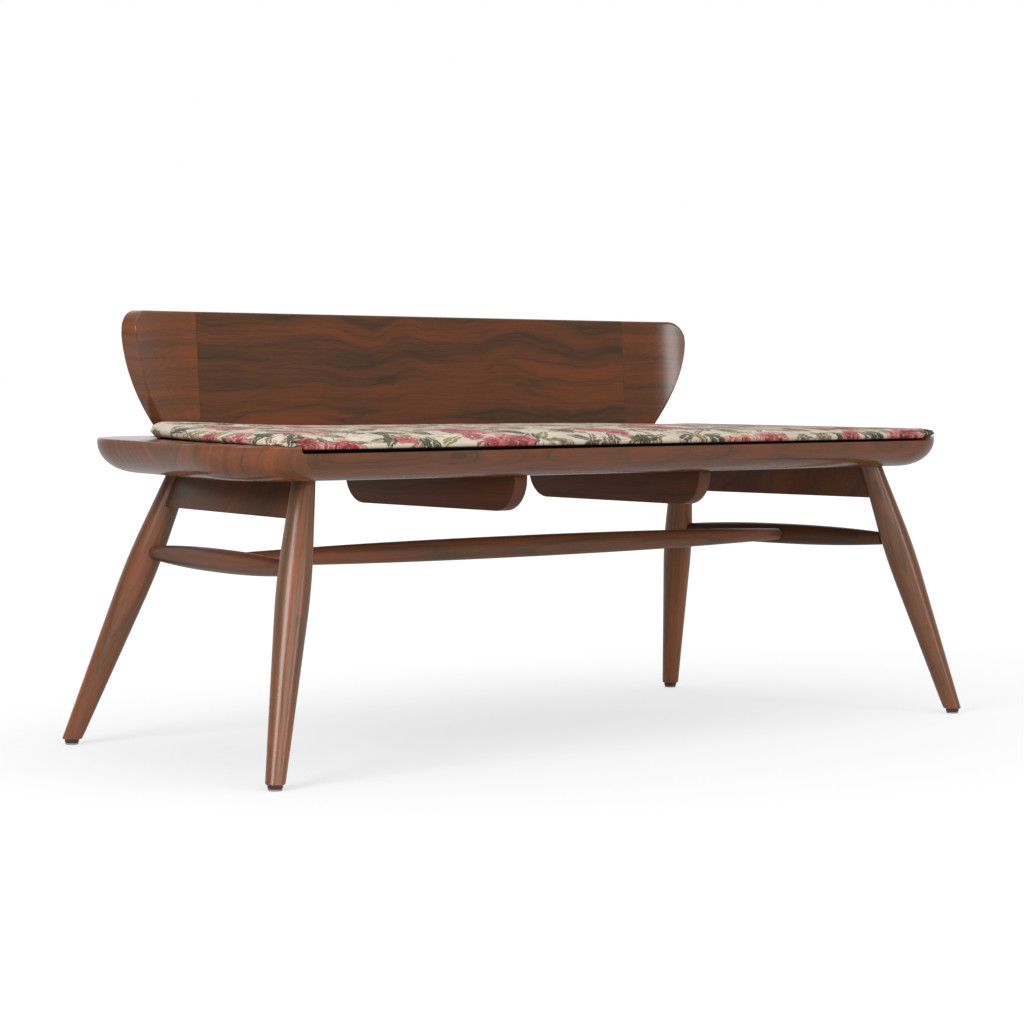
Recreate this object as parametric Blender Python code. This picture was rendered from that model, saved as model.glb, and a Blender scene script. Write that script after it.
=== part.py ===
"""Teak bench with a low curved backrest, splayed turned legs and a loose seat cushion.

Metres, +Z up. The origin is on the floor under the middle of the bench. +X runs along the seat,
and someone sitting on it faces -Y.
"""
import math

import bmesh
import bpy
from mathutils import Vector

# Clearance between pieces that touch
GAP = 0.0003

# Seat slab: a tapering board with round corners and a deep round under its edge
SEAT_TOP = 0.4451
SEAT_THICK = 0.0484
SEAT_FRONT_Y = -0.272
SEAT_BACK_Y = 0.258
SEAT_FRONT_LENGTH = 1.505
SEAT_BACK_LENGTH = 1.293
SEAT_FRONT_RADIUS = 0.120
SEAT_BACK_RADIUS = 0.166
SEAT_ROUND_WIDTH = 0.056
SEAT_EDGE_WALL = 0.006
SEAT_ARRIS = 0.002

# Recess in the seat for the cushion, open at the front
RECESS_DEPTH = 0.0064
RECESS_END_MARGIN = 0.104
RECESS_BACK_GAP = 0.006
RECESS_BACK_RADIUS = 0.040
RECESS_FILLET = 0.005

# Legs: where their axes meet the seat's underside, and their lean per metre of height
FRONT_LEG_X = 0.585
FRONT_LEG_Y = -0.196
FRONT_LEG_LEAN_X = 0.289
FRONT_LEG_LEAN_Y = -0.2125
BACK_LEG_X = 0.522
BACK_LEG_Y = 0.159
BACK_LEG_LEAN_X = 0.263
BACK_LEG_LEAN_Y = 0.306
LEG_FOOT_DIAMETER = 0.026
LEG_BELLY_DIAMETER = 0.0484
LEG_BELLY_HEIGHT = 0.262
LEG_BELLY_BLEND = 0.045
LEG_TOP_DIAMETER = 0.032
LEG_TENON_DIAMETER = 0.027
LEG_TENON_DEPTH = 0.026

# Foot glides: a disc with a nail, and a sole under it
GLIDE_DIAMETER = 0.0204
GLIDE_HEIGHT = 0.0046
GLIDE_NAIL_DIAMETER = 0.0035
GLIDE_NAIL_LENGTH = 0.014
SOLE_DIAMETER = 0.0186
SOLE_HEIGHT = 0.0024

# Turned stretchers, thickest in the middle
STRETCHER_HEIGHT = 0.280
END_STRETCHER_DIAMETER = 0.033
END_STRETCHER_END_DIAMETER = 0.020
END_STRETCHER_PAST_AXIS = 0.005
CENTRE_STRETCHER_DIAMETER = 0.033
CENTRE_STRETCHER_END_DIAMETER = 0.018
CENTRE_STRETCHER_SHORT_OF_AXIS = 0.002
SWELL_POWER = 2.3

# End aprons between the legs
APRON_HEIGHT = 0.0505
APRON_THICK = 0.020
APRON_PAST_AXIS = 0.006
EASED_EDGE = 0.0015

# Cross battens under the seat
BATTEN_X = 0.191
BATTEN_THICK = 0.025
BATTEN_HEIGHT = 0.052
BATTEN_FRONT_Y = -0.203
BATTEN_BACK_Y = 0.170
BATTEN_CORNER_RUN = 0.042
BATTEN_CORNER_RISE = 0.046

# Backrest: a straight centre panel and two end blocks that curve forward
BACK_TOP = 0.6264
BACK_THICK = 0.025
BACK_FRONT_Y = 0.2133
BACK_RAKE = math.radians(4.6)
BACK_CENTRE_LENGTH = 0.8848
BACK_END_LENGTH = 0.1300
BACK_BEND_RADIUS = 0.347
BACK_TIP_BELOW_TOP = 0.030
BACK_SWEEP_REACH = 0.0738
BACK_SWEEP_POWER = 1.85

# Dowels and screws
SEAT_DOWEL_DIAMETER = 0.010
SEAT_DOWEL_IN_SEAT = 0.024
SEAT_DOWEL_IN_BACK = 0.030
CENTRE_DOWELS = 4
CENTRE_DOWEL_SPACING = 0.240
END_DOWEL_FROM_JOINT = 0.036
EDGE_DOWEL_DIAMETER = 0.008
EDGE_DOWEL_REACH = 0.020
EDGE_DOWEL_HEIGHTS = (0.30, 0.72)
SCREW_DIAMETER = 0.0045
SCREW_HEAD_DIAMETER = 0.0085
SCREW_HEAD_HEIGHT = 0.003
SCREW_IN_SEAT = 0.018
SCREW_HEAD_SINK = 0.014
BATTEN_SCREWS = 3
BATTEN_SCREW_SPACING = 0.120
APRON_SCREWS = 2
APRON_SCREW_SPACING = 0.160

# Loose cushion with a crown and drawn-in sides, whose ends bulge over the ends of the recess
CUSHION_EDGE = 0.0192
CUSHION_CROWN = 0.0245
CUSHION_SIDE_GAP = 0.003
CUSHION_FRONT_SETBACK = 0.002
CUSHION_FRONT_RADIUS = 0.016
CUSHION_DRAW_IN = 0.003
CUSHION_CROWN_RUN = 0.190
CUSHION_OVERHANG = 0.012
CUSHION_OVERHANG_LIFT = 0.0010

# Facets
ROUND_STEPS = 24
SPINDLE_STEPS = 20
GLIDE_STEPS = 16
PIN_STEPS = 10
ARC_STEPS = 8
PROFILE_STEPS = 6

SIDES = {"left": -1, "right": 1}
UNDERSIDE = SEAT_TOP - SEAT_THICK
RECESS_FLOOR = SEAT_TOP - RECESS_DEPTH
FOOT_CUT = SOLE_HEIGHT + GLIDE_HEIGHT + 2 * GAP
UP = Vector((0, 0, 1))


def clear_scene():
    for old in list(bpy.data.objects):
        bpy.data.objects.remove(old, do_unlink=True)


def finish_material(name, colour, roughness, metallic=0.0):
    finish = bpy.data.materials.new(name)
    finish.use_nodes = True
    shader = finish.node_tree.nodes["Principled BSDF"]
    shader.inputs["Base Color"].default_value = (*colour, 1.0)
    shader.inputs["Roughness"].default_value = roughness
    shader.inputs["Metallic"].default_value = metallic
    return finish


def add_object(name, mesh, finish=None):
    """A piece with a finish, or a hidden cutter without one."""
    piece = bpy.data.objects.new(name, mesh)
    bpy.context.scene.collection.objects.link(piece)
    if finish:
        mesh.materials.append(finish)
    else:
        piece.hide_render = True
        piece.display_type = "WIRE"
    return piece


def cut(piece, *cutters):
    for cutter in cutters:
        step = piece.modifiers.new("cut " + cutter.name, "BOOLEAN")
        step.operation = "DIFFERENCE"
        step.solver = "EXACT"
        step.object = cutter


def ease_edges(piece, width):
    step = piece.modifiers.new("eased edges", "BEVEL")
    step.width = width
    step.segments = 1
    step.limit_method = "ANGLE"
    step.angle_limit = math.radians(50)


def turned(name, profile, start, direction, finish=None, steps=ROUND_STEPS):
    """A turning about a line: profile lists (distance along the line, radius) from its far end back."""
    mesh = bpy.data.meshes.new(name)
    mesh.from_pydata([(r, 0, s) for s, r in profile], [(i, i + 1) for i in range(len(profile) - 1)], [])
    piece = add_object(name, mesh, finish)
    spin = piece.modifiers.new("turn", "SCREW")
    spin.steps = steps
    spin.render_steps = steps
    spin.use_merge_vertices = True
    spin.merge_threshold = 0.00001
    spin.use_smooth_shade = True
    piece.location = start
    piece.rotation_mode = "QUATERNION"
    piece.rotation_quaternion = UP.rotation_difference(direction)
    return piece


def rod_profile(near, far, radius):
    return [(far, 0), (far, radius), (near, radius), (near, 0)]


def lofted(name, rings, finish=None, smooth_under=math.radians(40)):
    """A closed skin over rings of points, listed from the bottom up and counter-clockwise from above."""
    work = bmesh.new()
    loops = [[work.verts.new(p) for p in ring] for ring in rings]
    count = len(loops[0])
    for low, high in zip(loops, loops[1:]):
        for i in range(count):
            j = (i + 1) % count
            work.faces.new((low[i], low[j], high[j], high[i]))
    work.faces.new(reversed(loops[0]))
    work.faces.new(loops[-1])
    mesh = bpy.data.meshes.new(name)
    work.to_mesh(mesh)
    work.free()
    mesh.shade_smooth()
    mesh.set_sharp_from_angle(angle=smooth_under)
    return add_object(name, mesh, finish)


def extruded(name, outline, step, finish=None):
    """A flat outline of points moved along step, which leaves it on the side it faces."""
    work = bmesh.new()
    face = work.faces.new([work.verts.new(p) for p in outline])
    grown = bmesh.ops.extrude_face_region(work, geom=[face])
    moved = [g for g in grown["geom"] if isinstance(g, bmesh.types.BMVert)]
    bmesh.ops.translate(work, verts=moved, vec=step)
    bmesh.ops.recalc_face_normals(work, faces=work.faces)
    mesh = bpy.data.meshes.new(name)
    work.to_mesh(mesh)
    work.free()
    return add_object(name, mesh, finish)


def rounded_outline(corners, radii, inset=0.0, edge_steps=1, draw_in=0.0):
    """Plan points of a convex board, moved in by inset, its corners rounded and its edges drawn in."""
    least_radius = 0.002
    count = len(corners)
    inward = []
    for here, there in zip(corners, corners[1:] + corners[:1]):
        along = (Vector(there) - Vector(here)).normalized()
        inward.append(Vector((-along.y, along.x)))
    arcs = []
    for i in range(count):
        before, after = inward[i - 1], inward[i]
        reach = max(radii[i], inset + least_radius)
        shift = (before + after) * (reach / (1 + before.dot(after)))
        centre = Vector(corners[i]) + shift
        first = math.atan2(-before.y, -before.x)
        turn = before.angle_signed(after) * -1
        arcs.append([
            centre + (reach - inset) * Vector((math.cos(first + turn * k / ARC_STEPS),
                                               math.sin(first + turn * k / ARC_STEPS)))
            for k in range(ARC_STEPS + 1)])
    points = []
    for i in range(count):
        points += arcs[i]
        start, end = arcs[i][-1], arcs[(i + 1) % count][0]
        for k in range(1, edge_steps):
            t = k / edge_steps
            points.append(start.lerp(end, t) + inward[i] * (draw_in * 4 * t * (1 - t)))
    return points


def level(points, z):
    return [Vector((p.x, p.y, z)) for p in points]


# Seat slab
def seat_corners():
    front, back = SEAT_FRONT_LENGTH / 2, SEAT_BACK_LENGTH / 2
    return [(-front, SEAT_FRONT_Y), (front, SEAT_FRONT_Y), (back, SEAT_BACK_Y), (-back, SEAT_BACK_Y)]


def end_line_x(y, margin):
    """Half length of the seat at y, less a margin measured square to its end."""
    front, back = SEAT_FRONT_LENGTH / 2, SEAT_BACK_LENGTH / 2
    taper = (front - back) / (SEAT_BACK_Y - SEAT_FRONT_Y)
    return front - taper * (y - SEAT_FRONT_Y) - margin * math.hypot(1, taper)


def make_seat(finish):
    radii = [SEAT_FRONT_RADIUS, SEAT_FRONT_RADIUS, SEAT_BACK_RADIUS, SEAT_BACK_RADIUS]
    round_height = SEAT_THICK - SEAT_EDGE_WALL
    section = []
    for k in range(PROFILE_STEPS + 1):
        angle = math.pi / 2 * k / PROFILE_STEPS
        inset = SEAT_ROUND_WIDTH * (1 - math.sin(angle))
        section.append((inset, UNDERSIDE + round_height * (1 - math.cos(angle))))
    section.append((0.0, SEAT_TOP - SEAT_ARRIS))
    section.append((SEAT_ARRIS, SEAT_TOP))
    rings = [level(rounded_outline(seat_corners(), radii, inset), z) for inset, z in section]
    return lofted("seat_slab", rings, finish)


def recess_corners(front_y, back_margin=0.0, end_margin=0.0):
    back_y = BACK_FRONT_Y - RECESS_BACK_GAP - back_margin
    end = RECESS_END_MARGIN + end_margin
    front, back = end_line_x(front_y, end), end_line_x(back_y, end)
    return [(-front, front_y), (front, front_y), (back, back_y), (-back, back_y)]


def make_recess_cutter():
    past_edge = 0.05
    above = 0.01
    corners = recess_corners(SEAT_FRONT_Y - past_edge)
    radii = [0.0, 0.0, RECESS_BACK_RADIUS, RECESS_BACK_RADIUS]
    fillet_steps = 4
    rings = []
    for k in range(fillet_steps + 1):
        angle = math.pi / 2 * k / fillet_steps
        inset = RECESS_FILLET * (1 - math.sin(angle))
        z = RECESS_FLOOR + RECESS_FILLET * (1 - math.cos(angle))
        rings.append(level(rounded_outline(corners, radii, inset), z))
    rings.append(level(rounded_outline(corners, radii), SEAT_TOP + above))
    return lofted("recess_cutter", rings)


# Legs
def leg_axis(end, side):
    """Point on the floor, and the step along the leg's axis for each metre of height."""
    if end == "front":
        x, y, lean_x, lean_y = FRONT_LEG_X, FRONT_LEG_Y, FRONT_LEG_LEAN_X, FRONT_LEG_LEAN_Y
    else:
        x, y, lean_x, lean_y = BACK_LEG_X, BACK_LEG_Y, BACK_LEG_LEAN_X, BACK_LEG_LEAN_Y
    step = Vector((-SIDES[side] * lean_x, -lean_y, 1))
    return Vector((SIDES[side] * x, y, UNDERSIDE)) - step * UNDERSIDE, step


def leg_point(end, side, height):
    foot, step = leg_axis(end, side)
    return foot + step * height


def leg_profile(length_per_height, grow):
    """Two straight tapers that meet in a rounded belly, then the tapered tenon."""
    below_floor = 0.012
    foot, belly, top = LEG_FOOT_DIAMETER / 2, LEG_BELLY_DIAMETER / 2, LEG_TOP_DIAMETER / 2
    lower_slope = (belly - foot) / LEG_BELLY_HEIGHT
    upper_slope = (top - belly) / (UNDERSIDE - LEG_BELLY_HEIGHT)
    tip = UNDERSIDE + LEG_TENON_DEPTH + grow
    points = [(tip, 0), (tip, LEG_TENON_DIAMETER / 2 + grow), (UNDERSIDE, top + grow)]
    for k in range(PROFILE_STEPS + 1):
        t = 1 - 2 * k / PROFILE_STEPS
        height = LEG_BELLY_HEIGHT + LEG_BELLY_BLEND * t
        up = ((1 + t) / 2) ** 2 * LEG_BELLY_BLEND * upper_slope
        down = ((1 - t) / 2) ** 2 * LEG_BELLY_BLEND * lower_slope
        points.append((height, belly + up - down + grow))
    points.append((-below_floor, foot - lower_slope * below_floor + grow))
    points.append((-below_floor, 0))
    return [(h * length_per_height, r) for h, r in points]


def make_leg(end, side, finish=None, grow=0.0):
    foot, step = leg_axis(end, side)
    label = f"leg_{end}_{side}" if finish else f"socket_{end}_{side}"
    return turned(label, leg_profile(step.length, grow), foot, step, finish)


def make_floor_cutter():
    reach, depth = 1.0, 0.1
    corners = [(-reach, -reach), (reach, -reach), (reach, reach), (-reach, reach)]
    return extruded("floor_cutter", [Vector((x, y, FOOT_CUT)) for x, y in corners], (0, 0, -depth))


# Foot glides
def make_glide(end, side, finish, sole_finish):
    centre = leg_point(end, side, FOOT_CUT)
    top = FOOT_CUT - GAP
    under = top - GLIDE_HEIGHT
    nail_tip = top + GLIDE_NAIL_LENGTH
    disc, nail = GLIDE_DIAMETER / 2, GLIDE_NAIL_DIAMETER / 2
    at_floor = Vector((centre.x, centre.y, 0))
    rim = GLIDE_HEIGHT / 4
    profile = [(nail_tip, 0), (nail_tip, nail), (top, nail), (top, disc), (under + rim, disc),
               (under, disc - rim), (under, 0)]
    turned(f"glide_{end}_{side}", profile, at_floor, UP, finish, steps=GLIDE_STEPS)
    turned(f"glide_sole_{end}_{side}", rod_profile(0.0, SOLE_HEIGHT, SOLE_DIAMETER / 2), at_floor, UP,
           sole_finish, steps=GLIDE_STEPS)
    hole = rod_profile(0.0, nail_tip + GAP, nail + GAP)
    return turned(f"nail_hole_{end}_{side}", hole, at_floor, UP, steps=PIN_STEPS)


# Turned stretchers
def spindle_profile(length, tenon, middle, end, grow):
    """Round tenons at both ends and a swelling body between them."""
    body = length - 2 * tenon
    points = [(length + grow, 0), (length + grow, end / 2 + grow)]
    body_steps = 2 * PROFILE_STEPS
    for k in range(body_steps + 1):
        t = 1 - 2 * k / body_steps
        swell = 1 - abs(t) ** SWELL_POWER
        points.append((tenon + body * (1 + t) / 2, end / 2 + (middle - end) / 2 * swell + grow))
    return points + [(-grow, end / 2 + grow), (-grow, 0)]


def make_end_stretcher(side, finish=None, grow=0.0):
    front, back = leg_point("front", side, STRETCHER_HEIGHT), leg_point("back", side, STRETCHER_HEIGHT)
    along = (back - front).normalized()
    start = front - along * END_STRETCHER_PAST_AXIS
    length = (back - front).length + 2 * END_STRETCHER_PAST_AXIS
    tenon = END_STRETCHER_PAST_AXIS + LEG_BELLY_DIAMETER / 2
    profile = spindle_profile(length, tenon, END_STRETCHER_DIAMETER, END_STRETCHER_END_DIAMETER, grow)
    label = f"end_stretcher_{side}" if finish else f"leg_holes_{side}"
    return turned(label, profile, start, along, finish, steps=SPINDLE_STEPS)


def stretcher_middle(side):
    return (leg_point("front", side, STRETCHER_HEIGHT) + leg_point("back", side, STRETCHER_HEIGHT)) / 2


def make_centre_stretcher(finish=None, grow=0.0):
    short = CENTRE_STRETCHER_SHORT_OF_AXIS
    start = stretcher_middle("left") + Vector((short, 0, 0))
    length = (stretcher_middle("right") - stretcher_middle("left")).length - 2 * short
    tenon = END_STRETCHER_DIAMETER / 2 - short
    profile = spindle_profile(length, tenon, CENTRE_STRETCHER_DIAMETER, CENTRE_STRETCHER_END_DIAMETER, grow)
    label = "centre_stretcher" if finish else "stretcher_holes"
    return turned(label, profile, start, Vector((1, 0, 0)), finish, steps=SPINDLE_STEPS)


# Screws up into the seat
def make_screw(name, point, step, finish):
    """A screw sunk in the wood from a point of its lower edge, leaning along step, and the hole it goes in."""
    clear_below = 0.01
    head = SCREW_HEAD_SINK
    tip = (UNDERSIDE - point.z) * step.length + SCREW_IN_SEAT
    point_run = 2 * SCREW_DIAMETER
    neck = head + SCREW_HEAD_HEIGHT
    big, small = SCREW_HEAD_DIAMETER / 2, SCREW_DIAMETER / 2
    profile = [(tip, 0), (tip - point_run, small), (neck, small), (head, big), (head, 0)]
    turned(name, profile, point, step, finish, steps=PIN_STEPS)
    hole = [(tip + GAP, 0), (tip + GAP, small + GAP), (neck + GAP, small + GAP), (head + GAP, big + GAP),
            (-clear_below, big + GAP), (-clear_below, 0)]
    return turned(name + "_hole", hole, point, step, steps=PIN_STEPS)


# End aprons, which lean with the legs
def apron_line(side, height):
    """Front and back ends of an apron's middle line at a height, and its direction."""
    front, back = leg_point("front", side, height), leg_point("back", side, height)
    along = (back - front).normalized()
    return front - along * APRON_PAST_AXIS, back + along * APRON_PAST_AXIS, along


def make_apron(side, finish):
    top = UNDERSIDE - GAP
    rings = []
    for height in (top - APRON_HEIGHT, top):
        front, back, along = apron_line(side, height)
        across = Vector((along.y, -along.x, 0)) * (APRON_THICK / 2)
        rings.append([front - across, front + across, back + across, back - across])
    apron = lofted(f"apron_{side}", rings, finish)
    ease_edges(apron, EASED_EDGE)
    return apron


def apron_screws(side):
    """Points on an apron's lower edge, and the step along its lean for each metre of height."""
    low = UNDERSIDE - GAP - APRON_HEIGHT
    front, back, along = apron_line(side, low)
    upper_front, upper_back, _ = apron_line(side, UNDERSIDE)
    middle = (front + back) / 2
    step = ((upper_front + upper_back) / 2 - middle) / (UNDERSIDE - low)
    first = middle - along * (APRON_SCREW_SPACING * (APRON_SCREWS - 1) / 2)
    return [first + along * (APRON_SCREW_SPACING * k) for k in range(APRON_SCREWS)], step


# Cross battens
def make_batten(side, finish):
    top = UNDERSIDE - GAP
    low = top - BATTEN_HEIGHT
    outline = [(BATTEN_BACK_Y, top), (BATTEN_FRONT_Y, top)]
    for k in range(ARC_STEPS + 1):
        angle = math.pi / 2 * k / ARC_STEPS
        y = BATTEN_FRONT_Y + BATTEN_CORNER_RUN * (1 - math.cos(angle))
        outline.append((y, low + BATTEN_CORNER_RISE * (1 - math.sin(angle))))
    for k in range(ARC_STEPS + 1):
        angle = math.pi / 2 * (1 - k / ARC_STEPS)
        y = BATTEN_BACK_Y - BATTEN_CORNER_RUN * (1 - math.cos(angle))
        outline.append((y, low + BATTEN_CORNER_RISE * (1 - math.sin(angle))))
    inner = SIDES[side] * BATTEN_X - BATTEN_THICK / 2
    batten = extruded(f"cross_batten_{side}", [Vector((inner, y, z)) for y, z in outline],
                      (BATTEN_THICK, 0, 0), finish)
    ease_edges(batten, EASED_EDGE)
    return batten


def batten_screw_points(side):
    low = UNDERSIDE - GAP - BATTEN_HEIGHT
    middle = (BATTEN_FRONT_Y + BATTEN_BACK_Y) / 2
    return [Vector((SIDES[side] * BATTEN_X, middle + BATTEN_SCREW_SPACING * (k - (BATTEN_SCREWS - 1) / 2), low))
            for k in range(BATTEN_SCREWS)]


# Backrest
BACK_FOOT = SEAT_TOP + GAP


def rake_shift(z):
    return (z - SEAT_TOP) * math.tan(BACK_RAKE)


def bent_point(side, run, depth, z):
    """A point of an end block: run along its front face from the joint, depth behind that face."""
    angle = run / BACK_BEND_RADIUS
    radius = BACK_BEND_RADIUS + depth
    x = BACK_CENTRE_LENGTH / 2 + GAP + radius * math.sin(angle)
    y = BACK_FRONT_Y - BACK_BEND_RADIUS + radius * math.cos(angle) + rake_shift(z)
    return Vector((SIDES[side] * x, y, z))


def make_back_centre(finish):
    half = BACK_CENTRE_LENGTH / 2
    outline = []
    for y, z in ((0, BACK_FOOT), (BACK_THICK, BACK_FOOT), (BACK_THICK, BACK_TOP), (0, BACK_TOP)):
        outline.append(Vector((-half, BACK_FRONT_Y + y + rake_shift(z), z)))
    return extruded("backrest_centre_panel", outline, (BACK_CENTRE_LENGTH, 0, 0), finish)


def back_end_heights(short_of_tip):
    """Lowest and highest point of an end block, at a distance back along it from its tip."""
    tip_z = BACK_TOP - BACK_TIP_BELOW_TOP
    low_run = min(short_of_tip / BACK_SWEEP_REACH, 1.0)
    low = tip_z - (tip_z - BACK_FOOT) * low_run ** (1 / BACK_SWEEP_POWER)
    high_run = min(short_of_tip, BACK_TIP_BELOW_TOP)
    high = tip_z + math.sqrt(high_run * (2 * BACK_TIP_BELOW_TOP - high_run))
    return low, high


def make_back_end(side, finish):
    """Columns of four points from the joint to the tip, closer together where the outline turns."""
    columns = 22
    work = bmesh.new()
    rows = []
    for k in range(columns):
        short_of_tip = BACK_END_LENGTH * (1 - k / columns) ** 2
        low, high = back_end_heights(short_of_tip)
        run = BACK_END_LENGTH - short_of_tip
        rows.append([work.verts.new(bent_point(side, run, depth, z))
                     for depth, z in ((0, low), (0, high), (BACK_THICK, high), (BACK_THICK, low))])
    tip_z = BACK_TOP - BACK_TIP_BELOW_TOP
    tip = [work.verts.new(bent_point(side, BACK_END_LENGTH, depth, tip_z)) for depth in (0, BACK_THICK)]
    for near, far in zip(rows, rows[1:]):
        for i in range(4):
            j = (i + 1) % 4
            work.faces.new((near[i], near[j], far[j], far[i]))
    last = rows[-1]
    work.faces.new((last[0], last[1], tip[0]))
    work.faces.new((last[2], last[3], tip[1]))
    work.faces.new((last[1], last[2], tip[1], tip[0]))
    work.faces.new((last[3], last[0], tip[0], tip[1]))
    work.faces.new(rows[0])
    bmesh.ops.recalc_face_normals(work, faces=work.faces)
    mesh = bpy.data.meshes.new(f"backrest_end_{side}")
    work.to_mesh(mesh)
    work.free()
    mesh.shade_smooth()
    mesh.set_sharp_from_angle(angle=math.radians(40))
    return add_object(f"backrest_end_{side}", mesh, finish)


def make_dowel(name, point, direction, near, far, diameter, finish):
    """A dowel along a line through point, and the hole it goes in."""
    radius = diameter / 2
    turned(name, rod_profile(near, far, radius), point, direction, finish, steps=PIN_STEPS)
    hole = rod_profile(near - GAP, far + GAP, radius + GAP)
    return turned(name + "_hole", hole, point, direction, steps=PIN_STEPS)


def make_seat_dowels(finish):
    """Dowels up into the backrest, and which of its three pieces each one enters."""
    leaning = Vector((0, math.tan(BACK_RAKE), 1)).normalized()
    middle = BACK_THICK / 2
    spots = []
    for k in range(CENTRE_DOWELS):
        x = CENTRE_DOWEL_SPACING * (k - (CENTRE_DOWELS - 1) / 2)
        spots.append(("centre", Vector((x, BACK_FRONT_Y + middle, SEAT_TOP))))
    for side in SIDES:
        spots.append((side, bent_point(side, END_DOWEL_FROM_JOINT, middle, SEAT_TOP)))
    holes = []
    for number, (piece, spot) in enumerate(spots, 1):
        hole = make_dowel(f"backrest_seat_dowel_{number}", spot, leaning, -SEAT_DOWEL_IN_SEAT,
                          SEAT_DOWEL_IN_BACK, SEAT_DOWEL_DIAMETER, finish)
        holes.append((piece, hole))
    return holes


def make_edge_dowels(side, finish):
    """Dowels across a butt joint, at shares of the backrest's height."""
    holes = []
    for number, share in enumerate(EDGE_DOWEL_HEIGHTS, 1):
        z = BACK_FOOT + (BACK_TOP - BACK_FOOT) * share
        joint = Vector((SIDES[side] * BACK_CENTRE_LENGTH / 2, BACK_FRONT_Y + BACK_THICK / 2 + rake_shift(z), z))
        holes.append(make_dowel(f"backrest_edge_dowel_{side}_{number}", joint, Vector((1, 0, 0)),
                                -EDGE_DOWEL_REACH, EDGE_DOWEL_REACH, EDGE_DOWEL_DIAMETER, finish))
    return holes


# Loose cushion
def cushion_outline(inset, overhang):
    front_y = SEAT_FRONT_Y + CUSHION_FRONT_SETBACK
    corners = recess_corners(front_y, CUSHION_SIDE_GAP, CUSHION_SIDE_GAP - overhang)
    radii = [CUSHION_FRONT_RADIUS, CUSHION_FRONT_RADIUS, RECESS_BACK_RADIUS, RECESS_BACK_RADIUS]
    return rounded_outline(corners, radii, inset, edge_steps=8, draw_in=CUSHION_DRAW_IN)


def make_cushion(finish):
    """A lower part that fills the recess, an edge that bulges over its ends, and a crowned top."""
    out = CUSHION_OVERHANG
    lower_round = 0.003
    flat_share = 0.75
    lip = RECESS_DEPTH + CUSHION_OVERHANG_LIFT
    section = [(lower_round, 0.0, 0.0), (0.0, 0.0, lower_round), (0.0, 0.0, lip),
               (0.0, out * flat_share, lip + GAP)]
    edge_round = (CUSHION_EDGE - lip) / 2
    for angle in (0.0, math.pi / 4, math.pi / 2):
        inset = edge_round * (1 - math.cos(angle))
        section.append((inset, out, CUSHION_EDGE - edge_round * (1 - math.sin(angle))))
    for t in (0.12, 0.3, 0.55, 0.8, 1.0):
        rise = (CUSHION_CROWN - CUSHION_EDGE) * (1 - (1 - t) ** 2)
        section.append((edge_round + CUSHION_CROWN_RUN * t, out, CUSHION_EDGE + rise))
    rings = [level(cushion_outline(inset, overhang), RECESS_FLOOR + GAP + z) for inset, overhang, z in section]
    return lofted("seat_cushion", rings, finish, smooth_under=math.radians(70))


def main():
    clear_scene()
    teak = finish_material("teak", (0.155, 0.062, 0.032), 0.42)
    shaded_teak = finish_material("underside_teak", (0.115, 0.045, 0.026), 0.5)
    beech = finish_material("beech_dowel", (0.55, 0.38, 0.22), 0.6)
    steel = finish_material("zinc_steel", (0.6, 0.6, 0.58), 0.35, 1.0)
    plastic = finish_material("glide_plastic", (0.035, 0.025, 0.023), 0.45)
    felt = finish_material("sole_felt", (0.33, 0.29, 0.26), 0.95)
    cotton = finish_material("printed_cotton", (0.6, 0.52, 0.42), 0.9)

    seat = make_seat(teak)
    cut(seat, make_recess_cutter())
    floor = make_floor_cutter()
    stretcher_holes = make_centre_stretcher(grow=GAP)
    make_centre_stretcher(teak)

    for side in SIDES:
        leg_holes = make_end_stretcher(side, grow=GAP)
        cut(make_end_stretcher(side, teak), stretcher_holes)
        apron = make_apron(side, shaded_teak)
        for end in ("front", "back"):
            leg = make_leg(end, side, teak)
            cut(leg, floor, leg_holes, make_glide(end, side, plastic, felt))
            socket = make_leg(end, side, grow=GAP)
            cut(seat, socket)
            cut(apron, socket)
        points, lean = apron_screws(side)
        for number, point in enumerate(points, 1):
            hole = make_screw(f"apron_screw_{side}_{number}", point, lean, steel)
            cut(apron, hole)
            cut(seat, hole)
        batten = make_batten(side, shaded_teak)
        for number, point in enumerate(batten_screw_points(side), 1):
            hole = make_screw(f"batten_screw_{side}_{number}", point, UP, steel)
            cut(batten, hole)
            cut(seat, hole)

    backrest = {side: make_back_end(side, teak) for side in SIDES}
    backrest["centre"] = make_back_centre(teak)
    for piece, hole in make_seat_dowels(beech):
        cut(backrest[piece], hole)
        cut(seat, hole)
    for side in SIDES:
        for hole in make_edge_dowels(side, beech):
            cut(backrest[side], hole)
            cut(backrest["centre"], hole)

    make_cushion(cotton)


main()
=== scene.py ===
"""Looks of the teak bench: shaped and turned teak, foot glides and a printed seat cushion, in a white studio.

Metres, +Z up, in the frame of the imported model. The sizes repeat those of the part, with finer curves.
"""

from math import atan2, cos, hypot, pi, radians, sin, sqrt, tan

import bmesh
import bpy
import numpy as np
from mathutils import Matrix, Vector

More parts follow.
